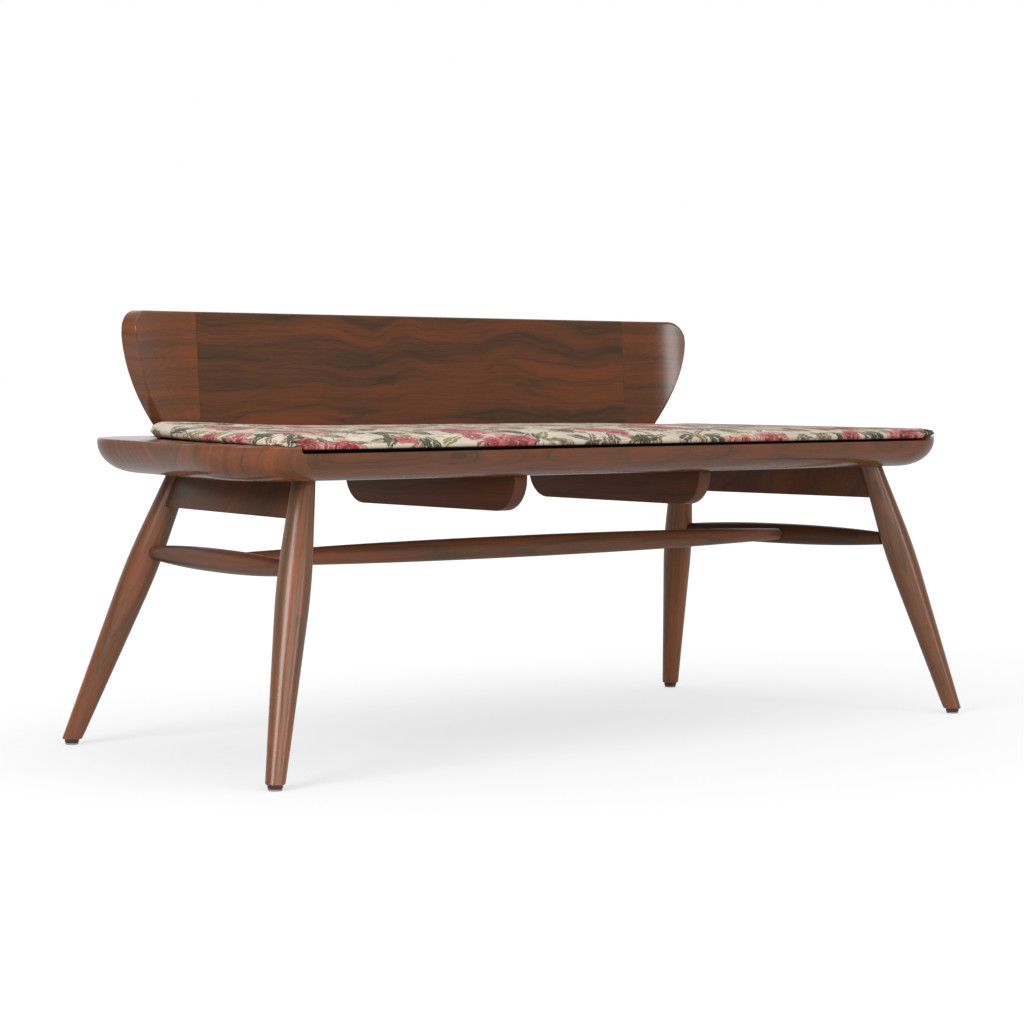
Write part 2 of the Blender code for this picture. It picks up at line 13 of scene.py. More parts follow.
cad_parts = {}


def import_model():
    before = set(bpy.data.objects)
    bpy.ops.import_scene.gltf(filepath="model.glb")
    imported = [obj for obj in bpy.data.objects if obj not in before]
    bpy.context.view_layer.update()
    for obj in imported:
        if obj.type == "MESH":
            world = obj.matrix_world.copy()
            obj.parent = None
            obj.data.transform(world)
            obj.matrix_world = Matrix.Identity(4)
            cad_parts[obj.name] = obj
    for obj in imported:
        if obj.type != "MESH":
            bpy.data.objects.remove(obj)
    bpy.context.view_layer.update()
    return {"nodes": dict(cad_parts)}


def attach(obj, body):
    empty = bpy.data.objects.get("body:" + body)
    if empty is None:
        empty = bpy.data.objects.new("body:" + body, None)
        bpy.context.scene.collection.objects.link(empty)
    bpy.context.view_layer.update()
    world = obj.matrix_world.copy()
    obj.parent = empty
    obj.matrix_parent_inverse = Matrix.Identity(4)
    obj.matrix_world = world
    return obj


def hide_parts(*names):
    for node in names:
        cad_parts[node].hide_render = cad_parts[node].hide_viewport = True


SIDES = {"left": -1, "right": 1}
ENDS = ("front", "back")

# Seat slab and its recess
SEAT_TOP = 0.4451
SEAT_THICK = 0.0484
SEAT_FRONT_Y = -0.272
SEAT_BACK_Y = 0.258
SEAT_FRONT_LENGTH = 1.505
SEAT_BACK_LENGTH = 1.293
SEAT_FRONT_RADIUS = 0.120
SEAT_BACK_RADIUS = 0.166
SEAT_ROUND_WIDTH = 0.056
SEAT_EDGE_WALL = 0.006
SEAT_ARRIS = 0.002
RECESS_DEPTH = 0.0064
RECESS_END_MARGIN = 0.104
RECESS_BACK_GAP = 0.006
RECESS_BACK_RADIUS = 0.040
RECESS_FILLET = 0.005
RECESS_DIP = 0.0040
RECESS_DIP_TO_X = 0.55
UNDERSIDE = SEAT_TOP - SEAT_THICK
RECESS_FLOOR = SEAT_TOP - RECESS_DEPTH

# Legs: where an axis meets the seat's underside, and its lean per metre of height
LEG_TOPS = {"front": (0.585, -0.196), "back": (0.522, 0.159)}
LEG_LEANS = {"front": (0.289, -0.2125), "back": (0.263, 0.306)}
LEG_FOOT_DIAMETER = 0.026
LEG_BELLY_DIAMETER = 0.0484
LEG_BELLY_HEIGHT = 0.262
LEG_BELLY_BLEND = 0.045
LEG_TOP_DIAMETER = 0.032
FOOT_CUT = 0.0076
FOOT_CHAMFER = 0.0015

# Foot glides and soles
GLIDE_DIAMETER = 0.0204
GLIDE_LOW = 0.0027
GLIDE_TOP = 0.0073
SOLE_DIAMETER = 0.0186
SOLE_HEIGHT = 0.0024

# Stretchers
STRETCHER_HEIGHT = 0.280
STRETCHER_DIAMETER = 0.033
END_STRETCHER_END_DIAMETER = 0.020
CENTRE_STRETCHER_END_DIAMETER = 0.018
SWELL_POWER = 2.3

# Aprons and battens
APRON_HEIGHT = 0.0505
APRON_THICK = 0.020
BATTEN_X = 0.191
BATTEN_THICK = 0.025
BATTEN_HEIGHT = 0.052
BATTEN_FRONT_Y = -0.203
BATTEN_BACK_Y = 0.170
BATTEN_CORNER_RUN = 0.042
BATTEN_CORNER_RISE = 0.046
EASED_EDGE = 0.0016
SCREW_HOLE_DIAMETER = 0.0091
SCREW_HEAD_SINK = 0.014
BATTEN_SCREW_SPACING = 0.120
APRON_SCREW_SPACING = 0.160

# Backrest
BACK_TOP = 0.6264
BACK_THICK = 0.025
BACK_FRONT_Y = 0.2133
BACK_RAKE = radians(4.6)
BACK_CENTRE_LENGTH = 0.8848
BACK_END_LENGTH = 0.1300
BACK_BEND_RADIUS = 0.347
BACK_TIP_BELOW_TOP = 0.030
BACK_SWEEP_REACH = 0.0738
BACK_SWEEP_POWER = 1.85
BACK_ROUND = 0.003
GAP = 0.0003
BACK_FOOT = SEAT_TOP + GAP

# Cushion: its shape before the filling puffs it up, and what is pressed into it after
# Corners go front left, front right, back right, back left; edges go front, right, back, left
PAD_EDGE = 0.0120
PAD_END_EDGE = 0.0158
PAD_END_RUN = 0.050
PAD_EDGE_ROUND = 0.003
PAD_CROWN = 0.0185
PAD_SIDE_GAP = 0.004
PAD_FRONT_SETBACK = 0.002
PAD_FRONT_RADIUS = 0.005
PAD_LOOSE_RADII = (0.045, 0.022, RECESS_BACK_RADIUS, 0.148)
PAD_DRAWS = (0.003, 0.003, 0.003, 0.003)
PAD_OVERHANG_DRAWS = (0.003, 0.003, 0.003, -0.010)
PAD_CROWN_RUN = 0.190
PAD_CROWN_SHARES = (0.04, 0.12, 0.3, 0.55, 0.8, 1.0)
PAD_CROWN_POWER = 3
PAD_LIFT = 0.001
PAD_LIP_SHARE = 0.96
PAD_WALL_SHARE = 0.75
PAD_OVERHANG = 0.015
PAD_CORNERS_MORE = (-0.044, 0.025, 0.010, -0.031)
PAD_UNDER_RUN = 0.014
PAD_UNDER_RISE = 0.0045
PAD_VOXEL = 0.005
PAD_MOST_MOVE = 0.005
PAD_FRAMES = 20
PAD_PRESSURE = 4.0
CREASE_HEIGHT = 0.0150
CREASE_WIDTH = 0.0018
CREASE_DEPTH = 0.0045
CREASE_SLOPE = 3.0
CREASE_LEVEL_LIMIT = 0.3
CREASE_END_LIMIT = 1.0
FRONT_GAPS = (0.0050, 0.0030)
FRONT_GAP_X = 0.50
CORNER_DROOP = 0.003
CORNER_DROOP_RUN = 0.012
FRONT_SINK_RUN = 0.10
FRONT_GAP_RUN = 0.045
FRONT_GAP_POWER = 0.7
# Painted shade: how far above its resting height the cloth still takes the near-black underside colour
PAINTED_SHADE_RISE = 0.0012
SAG = 0.004
SAG_FROM_X = 0.15
SAG_TO_X = 0.50
CORNER_LIFT = 0.008
CORNER_GAP_SHARE = 0.55
CORNER_LIFT_REACH = 0.13
CORNER_LIFT_MARGIN = 0.055
CORNER_LIFT_DEPTH = 0.05
PRINT_TURN_RUN = 0.030
PRINT_TAPER = 0.085

# Heart lines of the trees that the pieces were cut from, and how far along them
SEAT_HEART = (0.0, -0.02, 0.52)
BACK_CENTRE_HEART = (0.0, BACK_FRONT_Y + 0.10, 0.25)
BACK_END_HEART = (0.0, BACK_FRONT_Y + 0.15, -0.60)
BACK_END_ALONG = 2.0
LEG_HEARTS = {"front": (0.05, 0.03), "back": (0.05, -0.045)}
LEG_ALONG = (2.0, 5.0)
END_STRETCHER_HEART = (0.04, 0.03, 0.0)
CENTRE_STRETCHER_HEART = (-0.03, 0.05, 0.0)
CENTRE_STRETCHER_ALONG = 7.0
APRON_HEART = (0.0, 0.0, 0.30)
BATTEN_HEART = (0.0, 0.0, 0.25)
BATTEN_ALONG = 3.0

# Figure of the teak: how fine it is across the grain twice and then along it, and shades from dark to light
DRIFT_GRAIN = 4.5
DRIFTS = ((1.0, 4.0), (3.3, 0.8))
FIBRE_GRAIN = (620.0, 620.0, 9.0)
PORE_GRAIN = (1500.0, 1500.0, 60.0)
SMUDGE_GRAIN = (26.0, 26.0, 7.0)
BAND_RUN = 0.9
BAND_EDGES = 5.0
LINE_RUN = 0.35
LINE_PITCH = 0.13
EDGE_DEPTH = 0.55
LINE_DEPTH = 0.35
SMUDGE_DEPTH = 0.5
FIBRE_DEPTH = 0.55
FIBRE_ROUGHNESS = 0.10
BOARD_SHIFT = (0.10, 0.06, 3.0)
TEAK_SHADES = ((0.15, (0.070, 0.042, 0.023)), (0.40, (0.120, 0.050, 0.024)),
               (0.62, (0.168, 0.057, 0.024)), (0.92, (0.236, 0.067, 0.025)))

# Teak of each kind of piece: pitch, sway, wave, tone, depth, gloss and shine
# The two blocks, the end and centre stretchers, and the front, back left and back right legs are copies of
# one teak whose tones differ as painted light and shade, lighter or darker by how much lamp light reaches
# each
TEAKS = {"seat": (0.011, 0.010, 0.30, 1.05, 0.80, 0.14, 0.24),
         "panel": (0.040, 0.018, 0.17, 0.76, 1.10, 0.14, 0.40),
         "block_left": (0.014, 0.006, 0.30, 1.00, 0.65, 0.12, 0.42),
         "block_right": (0.014, 0.006, 0.30, 0.84, 0.65, 0.12, 0.42),
         "end_stretcher": (0.016, 0.006, 0.40, 0.72, 0.80, 0.30, 0.28),
         "centre_stretcher": (0.016, 0.006, 0.40, 1.18, 0.80, 0.30, 0.26),
         "leg_front": (0.018, 0.007, 0.30, 1.34, 0.90, 0.24, 0.46),
         "leg_back_left": (0.018, 0.007, 0.30, 1.22, 0.90, 0.24, 0.46),
         "leg_back_right": (0.018, 0.007, 0.30, 1.85, 0.90, 0.26, 0.30),
         "rail": (0.016, 0.008, 0.40, 0.78, 0.70, 0.26, 0.15)}
BOARD_WIDTHS = {"seat": 0.133}

# Floral print: its shades, and each motif's spacing, seed, sizes and share of the lattice
CREAM = ((0.3, (0.54, 0.470, 0.365)), (0.7, (0.65, 0.575, 0.455)))
BROWN = (0.155, 0.075, 0.035)
OLIVE = (0.19, 0.160, 0.060)
DARK_GREEN = (0.046, 0.041, 0.020)
ROSE_SHADES = ((0.0, (0.13, 0.012, 0.018)), (0.30, (0.37, 0.030, 0.042)), (0.55, (0.47, 0.125, 0.120)),
               (0.85, (0.62, 0.34, 0.28)), (1.0, (0.64, 0.50, 0.39)))
STROKES = ((0.015, 21.3, 0.007, 0.55, BROWN), (0.019, 17.9, 0.008, 0.50, OLIVE))
LEAVES = ((0.062, 9.1, 0.030, 0.009, 0.85, OLIVE), (0.046, 13.7, 0.020, 0.006, 0.75, BROWN),
          (0.072, 4.2, 0.034, 0.012, 0.70, DARK_GREEN), (0.056, 31.4, 0.024, 0.009, 0.55, DARK_GREEN))
ROSES = ((0.150, 2.6, 0.050, 0.72), (0.100, 7.7, 0.024, 0.65))
CHANCE_SOFT = 0.01
RIB_PITCH = 0.0065
PETALS = 5.0
PETAL_DEPTH = 0.16
WHORL = 16.0
BRUSH_GRAIN = (260.0, 70.0, 1.0)
SLUB_GRAIN = (900.0, 60.0, 1.0)
WOBBLE = 0.022
THREAD_PITCH = 0.0009

# The photograph's camera
CAMERA_PLACE = (-3.1785, -3.3488, 0.5592)
CAMERA_YAW = 0.7566
CAMERA_PITCH = -0.0495
CAMERA_ROLL = -0.0095
CAMERA_LENS = 107.43
SENSOR = 36.0

# Light of the surroundings by how far they lie the way that the camera looks, and the floor's own light,
# dimmer about a middle under the bench as a painted shadow
BACKING = ((0.3, 0.9), (0.16, 1.0))
AROUND = ((-0.2, 0.8), (0.20, 0.75))
FLOOR_REACH = 60.0
FLOOR_SHADOW_MIDDLE = (-0.76, -0.38, 0.0)
FLOOR_SHADOW_SPREAD = (4.05, 2.36, 1.0)
FLOOR_PAINTED_SHADOW = ((0.0, 1.0), (0.590, 0.840))
FLOOR_FAR = ((0.8, 2.5), (0.0, 0.16))
FLOOR_MIRRORED = 0.3
FLOOR_LIT_SHADE = 0.65
FLOOR_SEEN_SHADE = 0.35

# Lamps: place, target, width, height and power
LAMP_TARGET = (0.0, 0.0, 0.35)
LAMPS = {"key": ((-3.10, -0.82, 1.7), LAMP_TARGET, 1.3, 1.4, 64),
         "fill": ((-1.7, -4.2, 1.6), LAMP_TARGET, 3.0, 2.0, 58),
         "right_box": ((1.79, -5.66, 1.31), (0.53, 0.22, 0.5), 0.8, 2.8, 62),
         "top": ((-0.3, -0.8, 3.0), LAMP_TARGET, 3.0, 2.4, 36)}

# Fineness of the curves
ROUND_STEPS = 64
SCREW_STEPS = 32
ARC_STEPS = 24
PROFILE_STEPS = 18
FILLET_STEPS = 8
EDGE_STEPS = 5
ARRIS_STEPS = 4
LEG_RINGS = 60
BACK_END_COLUMNS = 48
BACK_END_ROWS = 28
PAD_UNDER_STEPS = 3
PAD_EDGE_STEPS = 4
PAD_SIDE_STEPS = 24


# Meshes
def lofted(rings):
    """A closed skin over rings of points, listed from the bottom up and counter-clockwise from above."""
    work = bmesh.new()
    loops = [[work.verts.new(p) for p in ring] for ring in rings]
    count = len(loops[0])
    for low, high in zip(loops, loops[1:]):
        for i in range(count):
            j = (i + 1) % count
            work.faces.new((low[i], low[j], high[j], high[i]))
    work.faces.new(reversed(loops[0]))
    work.faces.new(loops[-1])
    return finished(work)


def finished(work):
    mesh = bpy.data.meshes.new("shape")
    work.to_mesh(mesh)
    work.free()
    return mesh


def circle(radius, height, steps=ROUND_STEPS):
    turns = [2 * pi * k / steps for k in range(steps)]
    return [Vector((radius * cos(a), radius * sin(a), height)) for a in turns]


def turned(profile, steps=ROUND_STEPS):
    """A turning about local Z: profile lists (height, radius) from the bottom up."""
    return lofted([circle(radius, height, steps) for height, radius in profile])


def vectors(items, name):
    flat = np.zeros(len(items) * 3)
    items.foreach_get(name, flat)
    return flat.reshape(-1, 3)


def points_of(mesh):
    return vectors(mesh.vertices, "co")


def shaded(mesh, angle=35):
    mesh.shade_smooth()
    mesh.set_sharp_from_angle(angle=radians(angle))
    return mesh


def linked(name, data):
    """A new object in the scene."""
    made = bpy.data.objects.new(name, data)
    bpy.context.scene.collection.objects.link(made)
    return made


def settled(helper):
    """The helper's mesh with its modifiers applied; the helper goes."""
    graph = bpy.context.evaluated_depsgraph_get()
    mesh = bpy.data.meshes.new_from_object(helper.evaluated_get(graph))
    bpy.data.objects.remove(helper, do_unlink=True)
    return mesh


def cut_and_eased(mesh, cutters, ease=0.0):
    """The mesh less the cutters' meshes, with its sharp edges eased first."""
    helper = linked("helper", mesh)
    if ease:
        bevel = helper.modifiers.new("ease", "BEVEL")
        bevel.width = ease
        bevel.segments = 3
        bevel.limit_method = "ANGLE"
        bevel.angle_limit = radians(50)
    tools = [linked("helper", cutter) for cutter in cutters]
    for tool in tools:
        step = helper.modifiers.new("cut", "BOOLEAN")
        step.operation = "DIFFERENCE"
        step.solver = "EXACT"
        step.object = tool
    result = settled(helper)
    for tool in tools:
        bpy.data.objects.remove(tool, do_unlink=True)
    return result


def placed(name, mesh, nodes, finish, matrix=None, body="bench"):
    """A finished piece that rides on a body and stands for CAD nodes."""
    if matrix:
        mesh.transform(matrix)
    mesh.name = name
    mesh.materials.clear()
    mesh.materials.append(finish)
    piece = linked(name, mesh)
    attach(piece, body)
    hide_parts(*nodes)
    return piece


def grained(mesh, along, heart, start=0.0):
    """Stores where each point lies in its tree: two ways across the grain from the heart, then along it."""
    order = {"X": (1, 2, 0), "Y": (2, 0, 1), "Z": (0, 1, 2)}[along]
    places = (points_of(mesh) - heart)[:, order] + (0.0, 0.0, start)
    layer = mesh.attributes.new("grain", "FLOAT_VECTOR", "POINT")
    layer.data.foreach_set("vector", places.astype(np.float32).ravel())
    return mesh


def along_line(start, direction):
    """The matrix that lays local Z along a line from start."""
    turn = Vector((0, 0, 1)).rotation_difference(direction)
    return Matrix.LocRotScale(start, turn, None)


def rounded_outline(corners, radii, inset=0.0, edge_steps=1, draws=(0.0, 0.0, 0.0, 0.0)):
    """Plan points of a convex board, moved in by inset, its corners rounded and its edges drawn in."""
    least_radius = 0.002
    count = len(corners)
    inward = []
    for here, there in zip(corners, corners[1:] + corners[:1]):
        along = (Vector(there) - Vector(here)).normalized()
        inward.append(Vector((-along.y, along.x)))
    arcs = []
    for i in range(count):
        before, after = inward[i - 1], inward[i]
        reach = max(radii[i], inset + least_radius)
        centre = Vector(corners[i]) + (before + after) * (reach / (1 + before.dot(after)))
        first = atan2(-before.y, -before.x)
        turn = before.angle_signed(after) * -1
        angles = [first + turn * k / ARC_STEPS for k in range(ARC_STEPS + 1)]
        arcs.append([centre + (reach - inset) * Vector((cos(a), sin(a))) for a in angles])
    points = []
    for i in range(count):
        points += arcs[i]
        start, end = arcs[i][-1], arcs[(i + 1) % count][0]
        for k in range(1, edge_steps):
            t = k / edge_steps
            points.append(start.lerp(end, t) + inward[i] * (draws[i] * 4 * t * (1 - t)))
    return points


def level(points, z):
    return [Vector((p.x, p.y, z)) for p in points]


def quarter(steps, width, height):
    """A quarter round: how far each point lies in from its side, and how far down from its top."""
    angles = [pi / 2 * k / steps for k in range(steps + 1)]
    return [(width * (1 - cos(a)), height * (1 - sin(a))) for a in angles]


# Seat slab
def end_line_x(y, margin):
    """Half length of the seat at y, less a margin measured square to its end."""
    front, back = SEAT_FRONT_LENGTH / 2, SEAT_BACK_LENGTH / 2
    taper = (front - back) / (SEAT_BACK_Y - SEAT_FRONT_Y)
    return front - taper * (y - SEAT_FRONT_Y) - margin * hypot(1, taper)


def board_corners(front_y, back_y, end_margin):
    front, back = end_line_x(front_y, end_margin), end_line_x(back_y, end_margin)
    return [(-front, front_y), (front, front_y), (back, back_y), (-back, back_y)]


def recess_corners(front_y, back_margin=0.0, end_margin=0.0):
    back_y = BACK_FRONT_Y - RECESS_BACK_GAP - back_margin
    return board_corners(front_y, back_y, RECESS_END_MARGIN + end_margin)


def recess_dip(x):
    """How much deeper the recess is towards its left end."""
    return RECESS_DIP * np.clip((RECESS_DIP_TO_X - x) / (2 * RECESS_DIP_TO_X), 0, 1)


def seat_mesh():
    radii = [SEAT_FRONT_RADIUS, SEAT_FRONT_RADIUS, SEAT_BACK_RADIUS, SEAT_BACK_RADIUS]
    corners = board_corners(SEAT_FRONT_Y, SEAT_BACK_Y, 0.0)
    belly = quarter(PROFILE_STEPS, SEAT_THICK - SEAT_EDGE_WALL, SEAT_ROUND_WIDTH)
    arris = quarter(ARRIS_STEPS, SEAT_ARRIS, SEAT_ARRIS)
    section = [(inset, UNDERSIDE + up) for up, inset in belly]
    section += [(inset, SEAT_TOP - down) for inset, down in arris]
    board = lofted([level(rounded_outline(corners, radii, inset), z) for inset, z in section])
    return grained(shaded(cut_and_eased(board, [recess_cutter()])), "X", SEAT_HEART)


def recess_cutter():
    past_edge = 0.05
    above = 0.01
    corners = recess_corners(SEAT_FRONT_Y - past_edge)
    radii = [0.0, 0.0, RECESS_BACK_RADIUS, RECESS_BACK_RADIUS]
    fillet = quarter(FILLET_STEPS, RECESS_FILLET, RECESS_FILLET)
    section = [(inset, RECESS_FLOOR + up) for up, inset in fillet] + [(0.0, SEAT_TOP + above)]
    rings = [level(rounded_outline(corners, radii, inset), z) for inset, z in section]
    for point in sum(rings[:-1], []):
        point.z -= recess_dip(point.x)
    return lofted(rings)


# Legs, glides and stretchers
def leg_axis(end, side):
    """Point on the floor, and the step along the leg's axis for each metre of height."""
    x, y = LEG_TOPS[end]
    lean_x, lean_y = LEG_LEANS[end]
    step = Vector((-SIDES[side] * lean_x, -lean_y, 1))
    return Vector((SIDES[side] * x, y, UNDERSIDE)) - step * UNDERSIDE, step


def leg_point(end, side, height):
    foot, step = leg_axis(end, side)
    return foot + step * height


def leg_radius(height):
    """Two straight tapers that meet in a rounded belly."""
    foot, belly, top = LEG_FOOT_DIAMETER / 2, LEG_BELLY_DIAMETER / 2, LEG_TOP_DIAMETER / 2
    lower_slope = (belly - foot) / LEG_BELLY_HEIGHT
    upper_slope = (top - belly) / (UNDERSIDE - LEG_BELLY_HEIGHT)
    t = (height - LEG_BELLY_HEIGHT) / LEG_BELLY_BLEND
    if t <= -1:
        return belly + (height - LEG_BELLY_HEIGHT) * lower_slope
    if t >= 1:
        return belly + (height - LEG_BELLY_HEIGHT) * upper_slope
    up = ((1 + t) / 2) ** 2 * LEG_BELLY_BLEND * upper_slope
    down = ((1 - t) / 2) ** 2 * LEG_BELLY_BLEND * lower_slope
    return belly + up - down


def make_leg(end, side, finish):
    """Rings square to the axis, with the lowest ones slid along it to the level foot."""
    in_seat = 0.006
    foot, step = leg_axis(end, side)
    matrix = along_line(foot, step)
    back = matrix.inverted()
    direction = step.normalized()
    rings = []
    for inset, height in ((FOOT_CHAMFER, FOOT_CUT), (0.0, FOOT_CUT + FOOT_CHAMFER)):
        ring = []
        for spot in circle(leg_radius(height) - inset, height * step.length):
            point = matrix @ spot
            ring.append(back @ (point + direction * ((height - point.z) / direction.z)))
        rings.append(ring)
    lowest = FOOT_CUT + 3 * LEG_FOOT_DIAMETER / 4
    for k in range(LEG_RINGS + 1):
        height = lowest + (UNDERSIDE + in_seat - lowest) * k / LEG_RINGS
        rings.append(circle(leg_radius(height), height * step.length))
    label = f"leg_{end}_{side}"
    heart_x, heart_y = LEG_HEARTS[end]
    start = LEG_ALONG[0] * foot.x + LEG_ALONG[1] * foot.y
    mesh = grained(shaded(lofted(rings)), "Z", (heart_x * SIDES[side], heart_y, 0.0), start)
    placed(f"turned_{label}", mesh, [label], finish, matrix)


def make_glide(end, side, plastic, felt):
    centre = leg_point(end, side, FOOT_CUT)
    matrix = Matrix.Translation((centre.x, centre.y, 0))
    radius, rim, lip = GLIDE_DIAMETER / 2, 0.0012, 0.0004
    profile = [(GLIDE_LOW + up, radius - inset) for up, inset in quarter(EDGE_STEPS, rim, rim)]
    profile += [(GLIDE_TOP - lip, radius), (GLIDE_TOP, radius - lip)]
    label = f"glide_{end}_{side}"
    placed(f"moulded_{label}", shaded(turned(profile)), [label], plastic, matrix)
    sole, soft = SOLE_DIAMETER / 2, 0.0006
    profile = [(0.0, sole - soft), (soft, sole), (SOLE_HEIGHT - soft, sole), (SOLE_HEIGHT, sole - soft)]
    label = f"glide_sole_{end}_{side}"
    placed(f"pressed_{label}", shaded(turned(profile)), [label], felt, matrix)


def spindle(length, middle, end):
    """A swelling turning of that length."""
    profile = []
    steps = 4 * PROFILE_STEPS
    for k in range(steps + 1):
        t = 2 * k / steps - 1
        profile.append((length * (1 + t) / 2, end / 2 + (middle - end) / 2 * (1 - abs(t) ** SWELL_POWER)))
    return shaded(turned(profile))


def make_stretchers(end_finish, centre_finish):
    middles = {}
    for side in SIDES:
        front, back = [leg_point(end, side, STRETCHER_HEIGHT) for end in ENDS]
        middles[side] = (front + back) / 2
        along = (back - front).normalized()
        inside = LEG_BELLY_DIAMETER / 2
        start = front + along * inside
        length = (back - front).length - 2 * inside
        turning = spindle(length, STRETCHER_DIAMETER, END_STRETCHER_END_DIAMETER)
        mesh = grained(turning, "Z", END_STRETCHER_HEART, start.x)
        label = f"end_stretcher_{side}"
        placed(f"turned_{label}", mesh, [label], end_finish, along_line(start, along))
    inside = STRETCHER_DIAMETER / 2
    start = middles["left"] + Vector((inside, 0, 0))
    length = (middles["right"] - middles["left"]).length - 2 * inside
    turning = spindle(length, STRETCHER_DIAMETER, CENTRE_STRETCHER_END_DIAMETER)
    mesh = grained(turning, "Z", CENTRE_STRETCHER_HEART, CENTRE_STRETCHER_ALONG)
    matrix = along_line(start, Vector((1, 0, 0)))
    placed("turned_centre_stretcher", mesh, ["centre_stretcher"], centre_finish, matrix)


# Aprons and battens, with their screw holes
def screw_hole(point, direction):
    clear = 0.01
    radius = SCREW_HOLE_DIAMETER / 2
    mesh = turned([(-clear, radius), (SCREW_HEAD_SINK, radius)], SCREW_STEPS)
    mesh.transform(along_line(point, direction))
    return mesh


def make_apron(side, finish):
    top = UNDERSIDE - GAP
    rings = []
    middles = []
    for height in (top - APRON_HEIGHT, top):
        front, back = [leg_point(end, side, height) for end in ENDS]
        along = (back - front).normalized()
        across = Vector((along.y, -along.x, 0)) * (APRON_THICK / 2)
        rings.append([front - across, front + across, back + across, back - across])
        middles.append((front + back) / 2)
        if height < top:
            screws = [middles[0] + along * (APRON_SCREW_SPACING / 2 * k) for k in (-1, 1)]
    holes = [screw_hole(point, middles[1] - middles[0]) for point in screws]
    board = shaded(cut_and_eased(lofted(rings), holes, EASED_EDGE))
    mesh = grained(board, "Y", APRON_HEART, SIDES[side])
    placed(f"shaped_apron_{side}", mesh, [f"apron_{side}"], finish)


def make_batten(side, finish):
    top = UNDERSIDE - GAP
    low = top - BATTEN_HEIGHT
    outline = [(BATTEN_BACK_Y, top), (BATTEN_FRONT_Y, top)]
    corner = quarter(ARC_STEPS, BATTEN_CORNER_RUN, BATTEN_CORNER_RISE)
    outline += [(BATTEN_FRONT_Y + run, low + rise) for run, rise in corner]
    outline += [(BATTEN_BACK_Y - run, low + rise) for run, rise in reversed(corner)]
    inner = SIDES[side] * BATTEN_X - BATTEN_THICK / 2
    board = lofted([[Vector((inner + step, y, z)) for y, z in outline] for step in (0.0, BATTEN_THICK)])
    middle = (BATTEN_FRONT_Y + BATTEN_BACK_Y) / 2
    spots = [Vector((SIDES[side] * BATTEN_X, middle + BATTEN_SCREW_SPACING * k, low)) for k in (-1, 0, 1)]
    holes = [screw_hole(spot, Vector((0, 0, 1))) for spot in spots]
    board = shaded(cut_and_eased(board, holes, EASED_EDGE))
    mesh = grained(board, "Y", BATTEN_HEART, BATTEN_ALONG + SIDES[side])
    placed(f"shaped_cross_batten_{side}", mesh, [f"cross_batten_{side}"], finish)


# Backrest
def rake_shift(z):
    return (z - SEAT_TOP) * tan(BACK_RAKE)


def make_back_centre(finish):
    half = BACK_CENTRE_LENGTH / 2
    eased = [(inset, BACK_TOP - down) for inset, down in quarter(EDGE_STEPS, BACK_ROUND, BACK_ROUND)]
    section = [(0.0, BACK_FOOT), (BACK_THICK, BACK_FOOT)]
    section += [(BACK_THICK - inset, z) for inset, z in eased]
    section += reversed(eased)
    rings = [[Vector((x, BACK_FRONT_Y + y + rake_shift(z), z)) for y, z in section] for x in (-half, half)]
    mesh = grained(shaded(lofted(rings)), "X", BACK_CENTRE_HEART)
    placed("shaped_backrest_centre", mesh, ["backrest_centre_panel"], finish)


def back_end_heights(short_of_tip):
    """Lowest and highest point of an end block, at a distance back along it from its tip."""
    tip_z = BACK_TOP - BACK_TIP_BELOW_TOP
    low_run = min(short_of_tip / BACK_SWEEP_REACH, 1.0)
    low = tip_z - (tip_z - BACK_FOOT) * low_run ** (1 / BACK_SWEEP_POWER)
    high_run = min(short_of_tip, BACK_TIP_BELOW_TOP)
    return low, tip_z + sqrt(high_run * (2 * BACK_TIP_BELOW_TOP - high_run))


def bent_point(side, run, depth, z):
    """A point of an end block: run along its front face from the joint, depth behind that face."""
    angle = run / BACK_BEND_RADIUS
    radius = BACK_BEND_RADIUS + depth
    x = BACK_CENTRE_LENGTH / 2 + GAP + radius * sin(angle)
    y = BACK_FRONT_Y - BACK_BEND_RADIUS + radius * cos(angle) + rake_shift(z)
    return Vector((SIDES[side] * x, y, z))


def back_end_grid():
    """The face of an end block as columns of (run, height), and points along its free outline."""
    columns, rows = BACK_END_COLUMNS, BACK_END_ROWS
    runs = [BACK_END_LENGTH * (1 - (1 - k / columns) ** 2) for k in range(columns + 1)]
    shares = [0.5 - 0.5 * cos(pi * k / rows) for k in range(rows + 1)]
    heights = [back_end_heights(BACK_END_LENGTH - run) for run in runs]
    grid = [[(run, low + (high - low) * t) for t in shares] for run, (low, high) in zip(runs, heights)]
    swept = [(run, low) for run, (low, high) in zip(runs, heights) if low > BACK_FOOT]
    return grid, np.array(swept + [(run, high) for run, (low, high) in zip(runs, heights)])


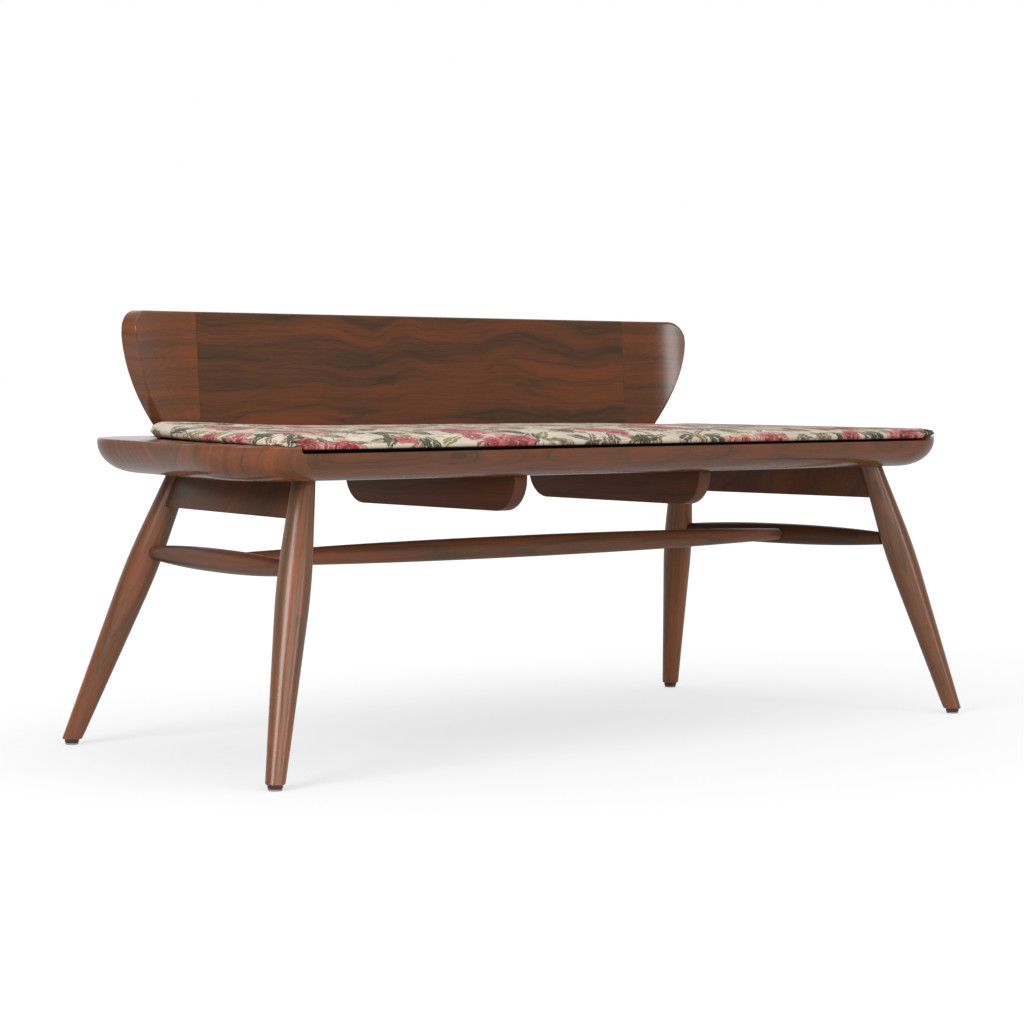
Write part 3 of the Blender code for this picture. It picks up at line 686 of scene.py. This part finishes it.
def back_end_mesh(side):
    """Front and back grids whose depth rounds off towards the outline, and the edge between them."""
    grid, outline = back_end_grid()

    def sunk(point):
        away = min(BACK_ROUND, float(np.hypot(*(outline - point).T).min()))
        return BACK_ROUND - sqrt(BACK_ROUND ** 2 - (BACK_ROUND - away) ** 2)

    work = bmesh.new()
    sheets = [[], []]
    for column in grid:
        depths = [sunk(point) for point in column]
        behind = [BACK_THICK - depth for depth in depths]
        for sheet, face in zip(sheets, (depths, behind)):
            places = [bent_point(side, run, depth, z) for (run, z), depth in zip(column, face)]
            sheet.append([work.verts.new(place) for place in places])
    rims = []
    for sheet in sheets:
        for near, far in zip(sheet, sheet[1:]):
            for j in range(BACK_END_ROWS):
                work.faces.new((near[j], near[j + 1], far[j + 1], far[j]))
        low_and_high = [column[0] for column in sheet] + [column[-1] for column in reversed(sheet)]
        rims.append(low_and_high + sheet[0][-2:0:-1])
    front, back = rims
    for i in range(len(front)):
        j = (i + 1) % len(front)
        work.faces.new((front[i], front[j], back[j], back[i]))
    same_place = 0.00001
    bmesh.ops.remove_doubles(work, verts=work.verts, dist=same_place)
    bmesh.ops.dissolve_degenerate(work, dist=same_place, edges=work.edges)
    bmesh.ops.recalc_face_normals(work, faces=work.faces)
    return finished(work)


def make_back_end(side, finish):
    label = f"backrest_end_{side}"
    block = shaded(back_end_mesh(side), angle=50)
    mesh = grained(block, "X", BACK_END_HEART, BACK_END_ALONG * SIDES[side])
    placed(f"shaped_{label}", mesh, [label], finish)


# Cushion
def cushion_section():
    """The inset, the overhang, and the height along the sides and at the ends, from the bottom up."""
    out = PAD_OVERHANG
    lip = RECESS_DEPTH + PAD_LIFT
    edges = (PAD_EDGE, PAD_END_EDGE)
    under_edge = quarter(PAD_UNDER_STEPS, PAD_UNDER_RISE, PAD_UNDER_RUN)
    section = [(inset, 0.0, rise, rise) for rise, inset in under_edge]
    section.append((0.0, 0.0, lip, lip))
    section.append((0.0, out * PAD_LIP_SHARE, lip + PAD_LIFT, lip + PAD_LIFT))
    for inset, fall in quarter(PAD_EDGE_STEPS, PAD_EDGE_ROUND, PAD_WALL_SHARE):
        heights = [edge - (edge - lip) * fall for edge in edges]
        section.append((inset, out, *heights))
    for t in PAD_CROWN_SHARES:
        fall = (1 - t) ** PAD_CROWN_POWER
        heights = [PAD_CROWN + (edge - PAD_CROWN) * fall for edge in edges]
        section.append((PAD_EDGE_ROUND + PAD_CROWN_RUN * t, out, *heights))
    return section


def cushion_rings():
    """A lower part that fills the recess, an edge that bulges over its ends, and a crowned top."""
    front_y = SEAT_FRONT_Y + PAD_FRONT_SETBACK
    snug_radii = [PAD_FRONT_RADIUS, PAD_FRONT_RADIUS, RECESS_BACK_RADIUS, RECESS_BACK_RADIUS]
    rings = []
    for inset, overhang, side_z, end_z in cushion_section():
        corners = recess_corners(front_y, PAD_SIDE_GAP, PAD_SIDE_GAP - overhang)
        out = overhang / PAD_OVERHANG
        corners = [(x + more * out, y) for (x, y), more in zip(corners, PAD_CORNERS_MORE)]
        radii = PAD_LOOSE_RADII if overhang else snug_radii
        draws = PAD_OVERHANG_DRAWS if overhang else PAD_DRAWS
        ring = level(rounded_outline(corners, radii, inset, PAD_SIDE_STEPS, draws), 0.0)
        for point in ring:
            beyond = abs(point.x) - end_line_x(point.y, RECESS_END_MARGIN) + PAD_END_RUN
            share = min(max(beyond / PAD_END_RUN, 0.0), 1.0)
            point.z = RECESS_FLOOR + 2 * GAP + side_z + (end_z - side_z) * share
        rings.append(ring)
    return rings


def set_points(mesh, points):
    mesh.vertices.foreach_set("co", points.ravel())
    mesh.update()


def seat_under(points):
    """How low each point may lie: on the recess floor, above it at the front, or on the lip past its ends."""
    wall = 0.002
    x, y = points[:, 0], points[:, 1]
    beyond = np.abs(x) > end_line_x(y, RECESS_END_MARGIN) - wall
    near_front = np.clip(1 - (y - y.min()) / FRONT_GAP_RUN, 0, 1)
    gap = np.interp(x, (-FRONT_GAP_X, FRONT_GAP_X), FRONT_GAPS) * near_front ** FRONT_GAP_POWER
    rest = np.where(beyond, SEAT_TOP, RECESS_FLOOR - recess_dip(x) + gap) + GAP
    return np.where(past_corner(points) > 0, UNDERSIDE, rest)


def past_corner(points):
    """How far each point lies out beyond the seat's rounded front left corner."""
    y = SEAT_FRONT_Y + SEAT_FRONT_RADIUS
    x = -end_line_x(y, SEAT_FRONT_RADIUS)
    past = np.hypot(points[:, 0] - x, points[:, 1] - y) - SEAT_FRONT_RADIUS
    return np.where((points[:, 0] < x) & (points[:, 1] < y), past, 0.0)


def inflated(mesh):
    """The mesh as evenly knit cloth, puffed up by its filling, with each point's move capped."""
    helper = linked("helper", mesh)
    remesh = helper.modifiers.new("remesh", "REMESH")
    remesh.mode = "VOXEL"
    remesh.voxel_size = PAD_VOXEL
    skin = settled(helper)
    helper = linked("helper", skin.copy())
    cloth = helper.modifiers.new("cloth", "CLOTH")
    cloth.settings.use_pressure = True
    cloth.settings.uniform_pressure_force = PAD_PRESSURE
    cloth.settings.effector_weights.gravity = 0.0
    scene = bpy.context.scene
    for number in range(1, PAD_FRAMES + 1):
        scene.frame_set(number)
    step = points_of(settled(helper)) - points_of(skin)
    scene.frame_set(1)
    least_move = 1e-9
    length = np.maximum(np.linalg.norm(step, axis=1, keepdims=True), least_move)
    set_points(skin, points_of(skin) + step * np.minimum(1.0, PAD_MOST_MOVE / length))
    return skin


def seam_crease(points, facing):
    """How far the seam draws each point in, 0 to 1: along the upright front and back, not round the ends. The
    same share darkens the cloth as painted shade.
    """
    crease_and_shade = np.exp(-(((points[:, 2] - RECESS_FLOOR - CREASE_HEIGHT) / CREASE_WIDTH) ** 2))
    upright = np.hypot(facing[:, 0], facing[:, 1])
    crease_and_shade *= np.clip(upright * CREASE_SLOPE - CREASE_LEVEL_LIMIT, 0, 1)
    return crease_and_shade * np.clip(np.abs(facing[:, 1]) * CREASE_SLOPE - CREASE_END_LIMIT, 0, 1)


def sagging(points):
    """How far each point sinks: the top to the right, the front left corner, the underside at the front."""
    x, y, z = points.T
    seam = RECESS_FLOOR + CREASE_HEIGHT
    upper = np.clip((z - seam) / (z.max() - seam), 0, 1)
    to_right = np.clip((x - SAG_FROM_X) / (SAG_TO_X - SAG_FROM_X), 0, 1)
    sag = SAG * to_right ** 2 * (3 - 2 * to_right) * upper
    droop = CORNER_DROOP * np.clip(past_corner(points) / CORNER_DROOP_RUN, 0, 1)
    near_front = np.clip(1 - (y - y.min()) / FRONT_SINK_RUN, 0, 1)
    return sag + droop + recess_dip(x) * near_front * (1 - upper)


def corner_lift(points):
    """How far the back left corner lifts each point, with a share of it for the underside near the rim."""
    x, y, z = points.T
    corner = points[np.argmin(x - y)]
    away = np.hypot(x - corner[0], y - corner[1]) / CORNER_LIFT_REACH
    inward = x + end_line_x(y, CORNER_LIFT_MARGIN)
    at_edge = np.clip(1 - inward / CORNER_LIFT_DEPTH, 0, 1)
    rise = np.clip((z - SEAT_TOP) / (PAD_END_EDGE - RECESS_DEPTH), 0, 1)
    return CORNER_LIFT * np.exp(-(away ** 2)) * (rise + CORNER_GAP_SHARE * (1 - rise) * at_edge)


def pressed(skin):
    """Sits the puffed skin on the seat; returns how far each point is in the seam's crease, which also sets
    its painted shade, and how far it takes the painted near-black shade of the underside.
    """
    points = points_of(skin)
    facing = vectors(skin.vertex_normals, "vector")
    crease_and_shade = seam_crease(points, facing)
    points[:, :2] -= facing[:, :2] * (CREASE_DEPTH * crease_and_shade)[:, None]
    points[:, 2] -= sagging(points)
    resting = seat_under(points)
    points[:, 2] = np.maximum(points[:, 2], resting)
    # Painted shade: points resting on the seat get a near-black colour, for the shadowed gap beneath the
    # cushion
    painted_underside_shade = np.clip((resting + PAINTED_SHADE_RISE - points[:, 2]) / PAINTED_SHADE_RISE, 0, 1)
    points[:, 2] += corner_lift(points)
    set_points(skin, points)
    return crease_and_shade, painted_underside_shade


# Materials
def grey(value):
    return (value, value, value)


def scaled(shade, factor):
    return tuple(part * factor for part in shade)


class Graph:
    """The shader nodes of a material or world, with short ways to add to them."""

    def __init__(self, owner):
        owner.use_nodes = True
        self.tree = owner.node_tree

    def feed(self, socket, value):
        """Links a socket to another one, or sets it to a constant."""
        if isinstance(value, bpy.types.NodeSocket):
            self.tree.links.new(value, socket)
        else:
            socket.default_value = value

    def add(self, kind, inputs=None, **settings):
        """A node with its settings, and its inputs set or linked by name."""
        made = self.tree.nodes.new("ShaderNode" + kind)
        for key, value in settings.items():
            setattr(made, key, value)
        for key, value in (inputs or {}).items():
            self.feed(made.inputs[key], value)
        return made

    def surface(self, **values):
        shader = self.tree.nodes["Principled BSDF"]
        for key, value in values.items():
            self.feed(shader.inputs[key.replace("_", " ")], value)

    def maths(self, operation, *values):
        return self.add("Math", dict(enumerate(values)), operation=operation).outputs[0]

    def vector(self, operation, *values):
        return self.add("VectorMath", dict(enumerate(values)), operation=operation).outputs[0]

    def length(self, place):
        return self.add("VectorMath", {0: place}, operation="LENGTH").outputs["Value"]

    def part(self, place, axis):
        return self.add("SeparateXYZ", {0: place}).outputs[axis]

    def own_place(self):
        return self.add("TexCoord").outputs["Object"]

    def times(self, first, *others):
        for other in others:
            first = self.maths("MULTIPLY", first, other)
        return first

    def noise(self, place, grain, detail=2.0, output="Fac"):
        """Noise at a place that is first stretched along each axis."""
        spot = self.vector("MULTIPLY", place, grain)
        return self.add("TexNoise", {"Vector": spot, "Scale": 1.0, "Detail": detail}).outputs[output]

    def drift(self, place, grain, detail, reach):
        """A random move along the first two axes."""
        way = self.vector("SUBTRACT", self.noise(place, grain, detail, "Color"), grey(0.5))
        return self.vector("MULTIPLY", way, (reach, reach, 0.0))

    def mapped(self, value, span, levels, mode="SMOOTHSTEP"):
        """A value carried from a span to two levels, and held beyond its ends."""
        inputs = dict(zip(("Value", "From Min", "From Max", "To Min", "To Max"), (value, *span, *levels)))
        return self.add("MapRange", inputs, interpolation_type=mode).outputs[0]

    def under(self, value, limit, soft):
        """1 where value is under limit, fading out over soft."""
        return self.mapped(value, (limit, limit + soft), (1.0, 0.0))

    def near_zero(self, value, limit, soft):
        return self.under(self.maths("ABSOLUTE", value), limit, soft)

    def ramp(self, factor, stops):
        """A colour ramp with (position, colour) stops."""
        made = self.add("ValToRGB", {"Fac": factor})
        elements = made.color_ramp.elements
        while len(elements) < len(stops):
            elements.new(0.5)
        for element, (position, colour) in zip(elements, stops):
            element.position = position
            element.color = (*colour, 1.0)
        return made.outputs["Color"]

    def mixed(self, factor, first, second, blend="MIX"):
        made = self.add("Mix", {0: factor}, data_type="RGBA", blend_type=blend)
        for index, colour in ((6, first), (7, second)):
            self.feed(made.inputs[index], (*colour, 1.0) if isinstance(colour, tuple) else colour)
        return made.outputs[2]

    def bumped(self, height, strength, distance):
        return self.add("Bump", {"Height": height, "Strength": strength, "Distance": distance}).outputs[0]


def new_material(name):
    material = bpy.data.materials.new(name)
    return material, Graph(material)


def from_boards(g, place, width):
    """Moves the place in the tree from one board of a glued-up slab to the next."""
    number = g.maths("FLOOR", g.maths("DIVIDE", g.part(place, 0), width))
    shift = g.add("TexWhiteNoise", {"W": number}, noise_dimensions="1D").outputs["Color"]
    return g.vector("ADD", place, g.vector("MULTIPLY", shift, BOARD_SHIFT))


def heart_distance(g, place, sway, wave):
    """Distance from the heart line, with a slow and a quicker drift across the grain."""
    bent = place
    for finer, share in DRIFTS:
        grain = (DRIFT_GRAIN * finer, DRIFT_GRAIN * finer, finer / wave)
        bent = g.vector("ADD", bent, g.drift(place, grain, 1.0, share * sway))
    return g.length(g.vector("MULTIPLY", bent, (1.0, 1.0, 0.0)))


def ring_noise(g, radius, along, spacing, run, detail):
    """Noise that changes quickly across the growth rings and slowly along them."""
    turns, lengths = g.maths("DIVIDE", radius, spacing), g.maths("DIVIDE", along, run)
    spot = g.add("CombineXYZ", {0: turns, 1: lengths})
    inputs = {"Vector": spot.outputs[0], "Scale": 1.0, "Detail": detail}
    return g.add("TexNoise", inputs, noise_dimensions="2D").outputs["Fac"]


def teak(name, pitch, sway, wave, tone, depth, gloss, shine, boards):
    """Stained teak with a satin finish: uneven growth bands about a heart line, and fine fibres along it.

    The bands lie about pitch apart, wander by about sway over a length of wave, and differ by depth.
    The gloss is the least roughness, and shine is the strength of the reflection. A glued-up slab has boards.
    """
    material, g = new_material(name)
    place = g.add("Attribute", attribute_name="grain").outputs["Vector"]
    if boards:
        place = from_boards(g, place, boards)
    radius = heart_distance(g, place, sway, wave)
    along = g.part(place, 2)
    bands = ring_noise(g, radius, along, pitch, BAND_RUN, 1.5)
    lines = ring_noise(g, radius, along, pitch * LINE_PITCH, LINE_RUN, 3.0)
    fibres = g.noise(place, FIBRE_GRAIN, 3.0)
    pores = g.noise(place, PORE_GRAIN, 1.0)
    smudges = g.noise(place, SMUDGE_GRAIN)
    edges = g.maths("FRACT", g.maths("MULTIPLY", bands, BAND_EDGES))
    edges = g.ramp(edges, [(0.0, grey(0.0)), (0.12, grey(0.45)), (0.5, grey(0.62)), (1.0, grey(0.5))])
    figures = ((bands, depth), (edges, EDGE_DEPTH * depth), (lines, LINE_DEPTH * depth),
               (smudges, SMUDGE_DEPTH * depth), (fibres, FIBRE_DEPTH))
    value = 0.5
    for figure, share in figures:
        value = g.maths("MULTIPLY_ADD", g.maths("SUBTRACT", figure, 0.5), share, value)
    colour = g.ramp(value, [(stop, scaled(shade, tone)) for stop, shade in TEAK_SHADES])
    pits = g.ramp(pores, [(0.30, grey(0.60)), (0.42, grey(1.0))])
    colour = g.mixed(0.5, colour, pits, "MULTIPLY")
    bump = g.bumped(g.maths("ADD", fibres, pores), 0.04, 0.0005)
    rough = g.maths("MULTIPLY_ADD", fibres, FIBRE_ROUGHNESS, gloss)
    g.surface(Base_Color=colour, Normal=bump, Specular_IOR_Level=shine, Roughness=rough)
    return material


def plain_wood(name, colour):
    """Raw beech for hidden dowels."""
    material, g = new_material(name)
    flecks = g.noise(g.own_place(), (900.0, 900.0, 90.0))
    shade = g.ramp(flecks, [(0.3, scaled(colour, 0.7)), (0.7, colour)])
    g.surface(Base_Color=shade, Roughness=0.6)
    return material


def zinc(name):
    material, g = new_material(name)
    spots = g.noise(g.own_place(), grey(1200.0))
    shade = g.ramp(spots, [(0.3, (0.42, 0.42, 0.40)), (0.7, (0.66, 0.66, 0.63))])
    rough = g.maths("MULTIPLY_ADD", spots, 0.25, 0.25)
    g.surface(Base_Color=shade, Metallic=1.0, Roughness=rough)
    return material


def moulded_plastic(name):
    material, g = new_material(name)
    spots = g.noise(g.own_place(), grey(1800.0))
    shade = g.ramp(spots, [(0.3, (0.028, 0.020, 0.018)), (0.7, (0.050, 0.037, 0.033))])
    g.surface(Base_Color=shade, Roughness=0.42, Normal=g.bumped(spots, 0.2, 0.0003))
    return material


def felt_sole(name):
    material, g = new_material(name)
    hairs = g.noise(g.own_place(), grey(1400.0), 4.0)
    shade = g.ramp(hairs, [(0.3, (0.22, 0.19, 0.17)), (0.7, (0.42, 0.37, 0.33))])
    g.surface(Base_Color=shade, Roughness=0.95, Normal=g.bumped(hairs, 0.6, 0.0008))
    return material


# Printed cotton
def scattered(g, place, size, seed):
    """A jittered lattice of motifs: the place within each motif, turned at random, and a random number."""
    moved = g.vector("ADD", place, (seed, seed * 1.7, 0.0))
    lattice = {"Vector": moved, "Scale": 1 / size, "Randomness": 0.85}
    cells = g.add("TexVoronoi", lattice, voronoi_dimensions="2D")
    local = g.vector("SUBTRACT", moved, cells.outputs["Position"])
    chance = g.add("SeparateColor", {0: cells.outputs["Color"]})
    turn = g.times(chance.outputs[0], 2 * pi)
    spun = g.add("VectorRotate", {"Vector": local, "Angle": turn}, rotation_type="Z_AXIS").outputs[0]
    return g.part(spun, 0), g.part(spun, 1), chance.outputs[1]


def leaf_mask(g, place, size, seed, length, width, share):
    """Pointed leaves with an open vein and slanting open ribs, on a share of the lattice."""
    x, y, chance = scattered(g, place, size, seed)
    out = g.maths("ABSOLUTE", y)
    bow = g.maths("POWER", g.maths("DIVIDE", g.maths("ABSOLUTE", x), length), 2.0)
    half = g.maths("MULTIPLY_ADD", bow, -width, width)
    blade = g.under(g.maths("SUBTRACT", out, half), 0.0, 0.0012)
    slant = g.times(g.maths("ADD", x, out), pi / RIB_PITCH)
    ribs = g.times(g.near_zero(g.maths("SINE", slant), 0.12, 0.22), 0.8)
    vein = g.under(out, 0.0006, 0.0008)
    solid = g.maths("SUBTRACT", 1.0, g.maths("MAXIMUM", ribs, vein))
    return g.times(blade, solid, g.under(chance, share, CHANCE_SOFT))


def rose(g, place, size, seed, radius, share, brush):
    """Blossoms of overlapping petals: their mask, and their colour from a dark heart to a pale rim."""
    x, y, chance = scattered(g, place, size, seed)
    away = g.maths("SQRT", g.maths("ADD", g.times(x, x), g.times(y, y)))
    angle = g.times(g.maths("ARCTAN2", y, x), PETALS)
    wave = g.maths("COSINE", angle)
    reach = g.maths("MULTIPLY_ADD", wave, radius * PETAL_DEPTH, radius * (1 - PETAL_DEPTH))
    bloom = g.under(g.maths("SUBTRACT", away, reach), 0.0, 0.0015)
    whorl = g.maths("SINE", g.maths("MULTIPLY_ADD", away, WHORL / radius, angle))
    open_line = g.times(g.near_zero(whorl, 0.10, 0.22), 0.7)
    petals = g.maths("SUBTRACT", 1.0, open_line)
    strokes = g.maths("SUBTRACT", 1.0, g.times(g.under(brush, 0.40, 0.05), 0.8))
    mask = g.times(bloom, petals, strokes, g.under(chance, share, CHANCE_SOFT))
    fade = g.maths("MULTIPLY_ADD", brush, 0.9, -0.42)
    fade = g.maths("MULTIPLY_ADD", whorl, 0.16, fade)
    fade = g.maths("MULTIPLY_ADD", g.maths("DIVIDE", away, radius), 0.6, fade)
    return mask, g.ramp(fade, ROSE_SHADES)


def with_strokes(g, place, drawn, colour):
    """Short sketched strokes over a colour, in clumps."""
    clumps = g.noise(place, grey(8.0), 1.0)
    for size, seed, length, share, shade in STROKES:
        x, y, chance = scattered(g, drawn, size, seed)
        line = g.near_zero(y, 0.0005, 0.0007)
        run = g.near_zero(x, length, 0.002)
        some = g.under(chance, share, CHANCE_SOFT)
        dash = g.times(line, run, some, g.under(clumps, 0.50, 0.06))
        colour = g.mixed(g.times(dash, 0.85), colour, shade)
    return colour


def with_flowers(g, drawn, colour):
    """Leaves and then blossoms over a colour, all in uneven brush strokes."""
    brush = g.noise(drawn, BRUSH_GRAIN)
    for *leaf, shade in LEAVES:
        mask = leaf_mask(g, drawn, *leaf)
        tone = g.ramp(brush, [(0.35, scaled(shade, 0.65)), (0.65, scaled(shade, 1.6))])
        colour = g.mixed(mask, colour, tone)
    for blossom in ROSES:
        mask, tone = rose(g, drawn, *blossom, brush)
        colour = g.mixed(mask, colour, tone)
    return colour


def printed_cotton(name):
    """A generic floral print of blossoms, leaves and loose sketched strokes on a woven cream ground, with
    painted shade in the seam's crease and a painted near-black shade on the underside where it rests.
    """
    material, g = new_material(name)
    stored = g.add("Attribute", attribute_name="print_place").outputs["Vector"]
    # The third part of the stored place is how far the point takes the painted shade of the seam's crease
    crease_and_shade = g.part(stored, 2)
    place = g.vector("MULTIPLY", stored, (1.0, 1.0, 0.0))
    drawn = g.vector("ADD", place, g.drift(place, grey(45.0), 3.0, WOBBLE))
    colour = g.ramp(g.noise(place, grey(14.0), 3.0), CREAM)
    colour = with_strokes(g, place, drawn, colour)
    colour = with_flowers(g, drawn, colour)

    turns = [g.times(g.part(place, axis), 2 * pi / THREAD_PITCH) for axis in (0, 1)]
    weave = g.times(*[g.maths("SINE", turn) for turn in turns])
    slub = g.noise(place, SLUB_GRAIN)
    colour = g.mixed(0.35, colour, g.ramp(slub, [(0.3, grey(0.82)), (0.7, grey(1.0))]), "MULTIPLY")
    # Painted shade: the cloth darkens in the seam's crease
    colour = g.mixed(g.times(crease_and_shade, 0.6), colour, (0.20, 0.15, 0.10), "MULTIPLY")
    # Painted shade: the cloth turns near black where it rests on the seat, for the shadowed gap beneath it
    painted_underside_shade = g.add("Attribute", attribute_name="painted_underside_shade").outputs["Fac"]
    colour = g.mixed(painted_underside_shade, colour, g.ramp(slub, [(0.3, grey(0.010)), (0.7, grey(0.022))]))
    bump = g.bumped(g.maths("MULTIPLY_ADD", slub, 0.8, weave), 0.25, 0.0003)
    g.surface(Base_Color=colour, Roughness=0.88, Normal=bump, Sheen_Weight=0.04)
    return material


def mark_print(mesh, crease_and_shade, painted_underside_shade):
    """Stores each point's place on the flat cloth, which turns down at its edges, with the painted shade of
    its crease, and the painted near-black shade of its underside.
    """
    points = points_of(mesh)
    x, y = points[:, 0], points[:, 1]
    low, high = y.min(), y.max()
    drop = points[:, 2].max() - points[:, 2]
    run = PRINT_TURN_RUN
    end_x = np.abs(x[y < low + run]).max() - (y - low) / (high - low) * PRINT_TAPER
    at_end = np.clip((np.abs(x) - end_x + run) / run, 0, 1) * np.sign(x)
    at_front = np.clip((low + run - y) / run, 0, 1)
    at_back = np.clip((y - high + run) / run, 0, 1)
    flat = np.zeros_like(points)
    flat[:, 0] = x + drop * at_end
    flat[:, 1] = y + drop * (at_back - at_front)
    # The third part carries the painted shade of the seam's crease
    flat[:, 2] = crease_and_shade
    layer = mesh.attributes.new("print_place", "FLOAT_VECTOR", "POINT")
    layer.data.foreach_set("vector", flat.ravel())
    # The painted near-black shade of the underside
    layer = mesh.attributes.new("painted_underside_shade", "FLOAT", "POINT")
    layer.data.foreach_set("value", painted_underside_shade)


def make_cushion(finish):
    helper = linked("helper", inflated(lofted(cushion_rings())))
    smooth = helper.modifiers.new("smooth", "SMOOTH")
    smooth.factor = 0.5
    smooth.iterations = 2
    finer = helper.modifiers.new("finer", "SUBSURF")
    finer.levels = 1
    skin = settled(helper)
    mark_print(skin, *pressed(skin))
    skin.shade_smooth()
    cushion = placed("sewn_seat_cushion", skin, ["seat_cushion"], finish, body="cushion")


# Studio
def make_camera():
    aside, ahead = sin(CAMERA_YAW), cos(CAMERA_YAW)
    level_part = cos(CAMERA_PITCH)
    forward = Vector((aside * level_part, ahead * level_part, sin(CAMERA_PITCH)))
    level_right = Vector((ahead, -aside, 0.0))
    level_down = forward.cross(level_right)
    c, s = cos(CAMERA_ROLL), sin(CAMERA_ROLL)
    right = c * level_right + s * level_down
    down = -s * level_right + c * level_down
    data = bpy.data.cameras.new("camera")
    data.lens = CAMERA_LENS
    data.sensor_width = SENSOR
    camera = linked("camera", data)
    turn = Matrix((right, -down, -forward)).transposed().to_4x4()
    camera.matrix_world = Matrix.Translation(CAMERA_PLACE) @ turn
    bpy.context.scene.camera = camera


def make_lamp(name, place, target, width, height, power):
    data = bpy.data.lights.new(name, "AREA")
    data.shape = "RECTANGLE"
    data.size = width
    data.size_y = height
    data.energy = power
    lamp = linked(name, data)
    lamp.location = place
    lamp.rotation_mode = "QUATERNION"
    lamp.rotation_quaternion = (Vector(target) - Vector(place)).to_track_quat("-Z", "Y")


def shown_to(g, mirrored=1.0):
    """1 for rays from the camera and through glass, and mirrored for reflected rays."""
    path = g.add("LightPath")
    direct = g.maths("MAXIMUM", path.outputs["Is Camera Ray"], path.outputs["Is Transmission Ray"])
    return g.maths("MAXIMUM", direct, g.maths("MULTIPLY", path.outputs["Is Glossy Ray"], mirrored))


def make_world():
    """White where the camera looks at it, and dimmer, with a bright side, where it lights the bench."""
    world = bpy.data.worlds.new("studio")
    g = Graph(world)
    backdrop = g.tree.nodes["Background"]
    backdrop.inputs["Color"].default_value = (1.0, 1.0, 1.0, 1.0)
    behind = (sin(CAMERA_YAW), cos(CAMERA_YAW), 0.0)
    way = g.add("TexCoord").outputs["Generated"]
    facing = g.add("VectorMath", {0: way, 1: behind}, operation="DOT_PRODUCT").outputs["Value"]
    shown = shown_to(g, g.mapped(facing, *BACKING))
    g.feed(backdrop.inputs["Strength"], g.maths("MAXIMUM", shown, g.mapped(facing, *AROUND)))
    bpy.context.scene.world = world


def floor_finish(name):
    """A pale floor with a light of its own, which is seen and a little mirrored but lights nothing; that
    light is dimmer about a middle under the bench, as a painted shadow.
    """
    material, g = new_material(name)
    # Painted shadow: the floor's own light is dimmer about a middle under the bench and rises away from it
    spot = g.vector("SUBTRACT", g.own_place(), FLOOR_SHADOW_MIDDLE)
    away = g.length(g.vector("DIVIDE", spot, FLOOR_SHADOW_SPREAD))
    near = g.mapped(away, *FLOOR_PAINTED_SHADOW)
    far = g.mapped(away, *FLOOR_FAR, "LINEAR")
    seen = shown_to(g, FLOOR_MIRRORED)
    glow = g.maths("MULTIPLY", seen, g.maths("ADD", near, far))
    shade = g.mixed(seen, grey(FLOOR_LIT_SHADE), grey(FLOOR_SEEN_SHADE))
    g.surface(Base_Color=shade, Roughness=0.9, Specular_IOR_Level=0.0, Emission_Color=(1.0, 1.0, 1.0, 1.0),
              Emission_Strength=glow)
    return material


def make_floor():
    mesh = bpy.data.meshes.new("floor")
    corners = [(x * FLOOR_REACH, y * FLOOR_REACH, 0) for x, y in ((-1, -1), (1, -1), (1, 1), (-1, 1))]
    mesh.from_pydata(corners, [], [(0, 1, 2, 3)])
    mesh.materials.append(floor_finish("pale_floor"))
    floor = linked("floor", mesh)


def main():
    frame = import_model()
    make_camera()

    woods = {kind: teak(f"teak_{kind}", *TEAKS[kind], BOARD_WIDTHS.get(kind)) for kind in TEAKS}
    beech = plain_wood("raw_beech", (0.55, 0.38, 0.22))
    steel = zinc("zinc_plate")
    plastic = moulded_plastic("moulded_glide")
    felt = felt_sole("pressed_felt")

    placed("shaped_seat_slab", seat_mesh(), ["seat_slab"], woods["seat"])
    make_back_centre(woods["panel"])
    # Stretchers, blocks and legs take copies of one teak whose tones differ as painted light and shade
    make_stretchers(woods["end_stretcher"], woods["centre_stretcher"])
    for side in SIDES:
        make_back_end(side, woods[f"block_{side}"])
        make_apron(side, woods["rail"])
        make_batten(side, woods["rail"])
        for end in ENDS:
            make_leg(end, side, woods["leg_front" if end == "front" else f"leg_back_{side}"])
            make_glide(end, side, plastic, felt)
    make_cushion(printed_cotton("floral_cotton"))
    for name, node in frame["nodes"].items():
        if "dowel" in name or "screw" in name:
            node.data.materials.clear()
            node.data.materials.append(beech if "dowel" in name else steel)

    make_world()
    make_floor()
    for name, lamp in LAMPS.items():
        make_lamp(name, *lamp)
    bpy.context.scene.view_settings.view_transform = "Standard"


main()
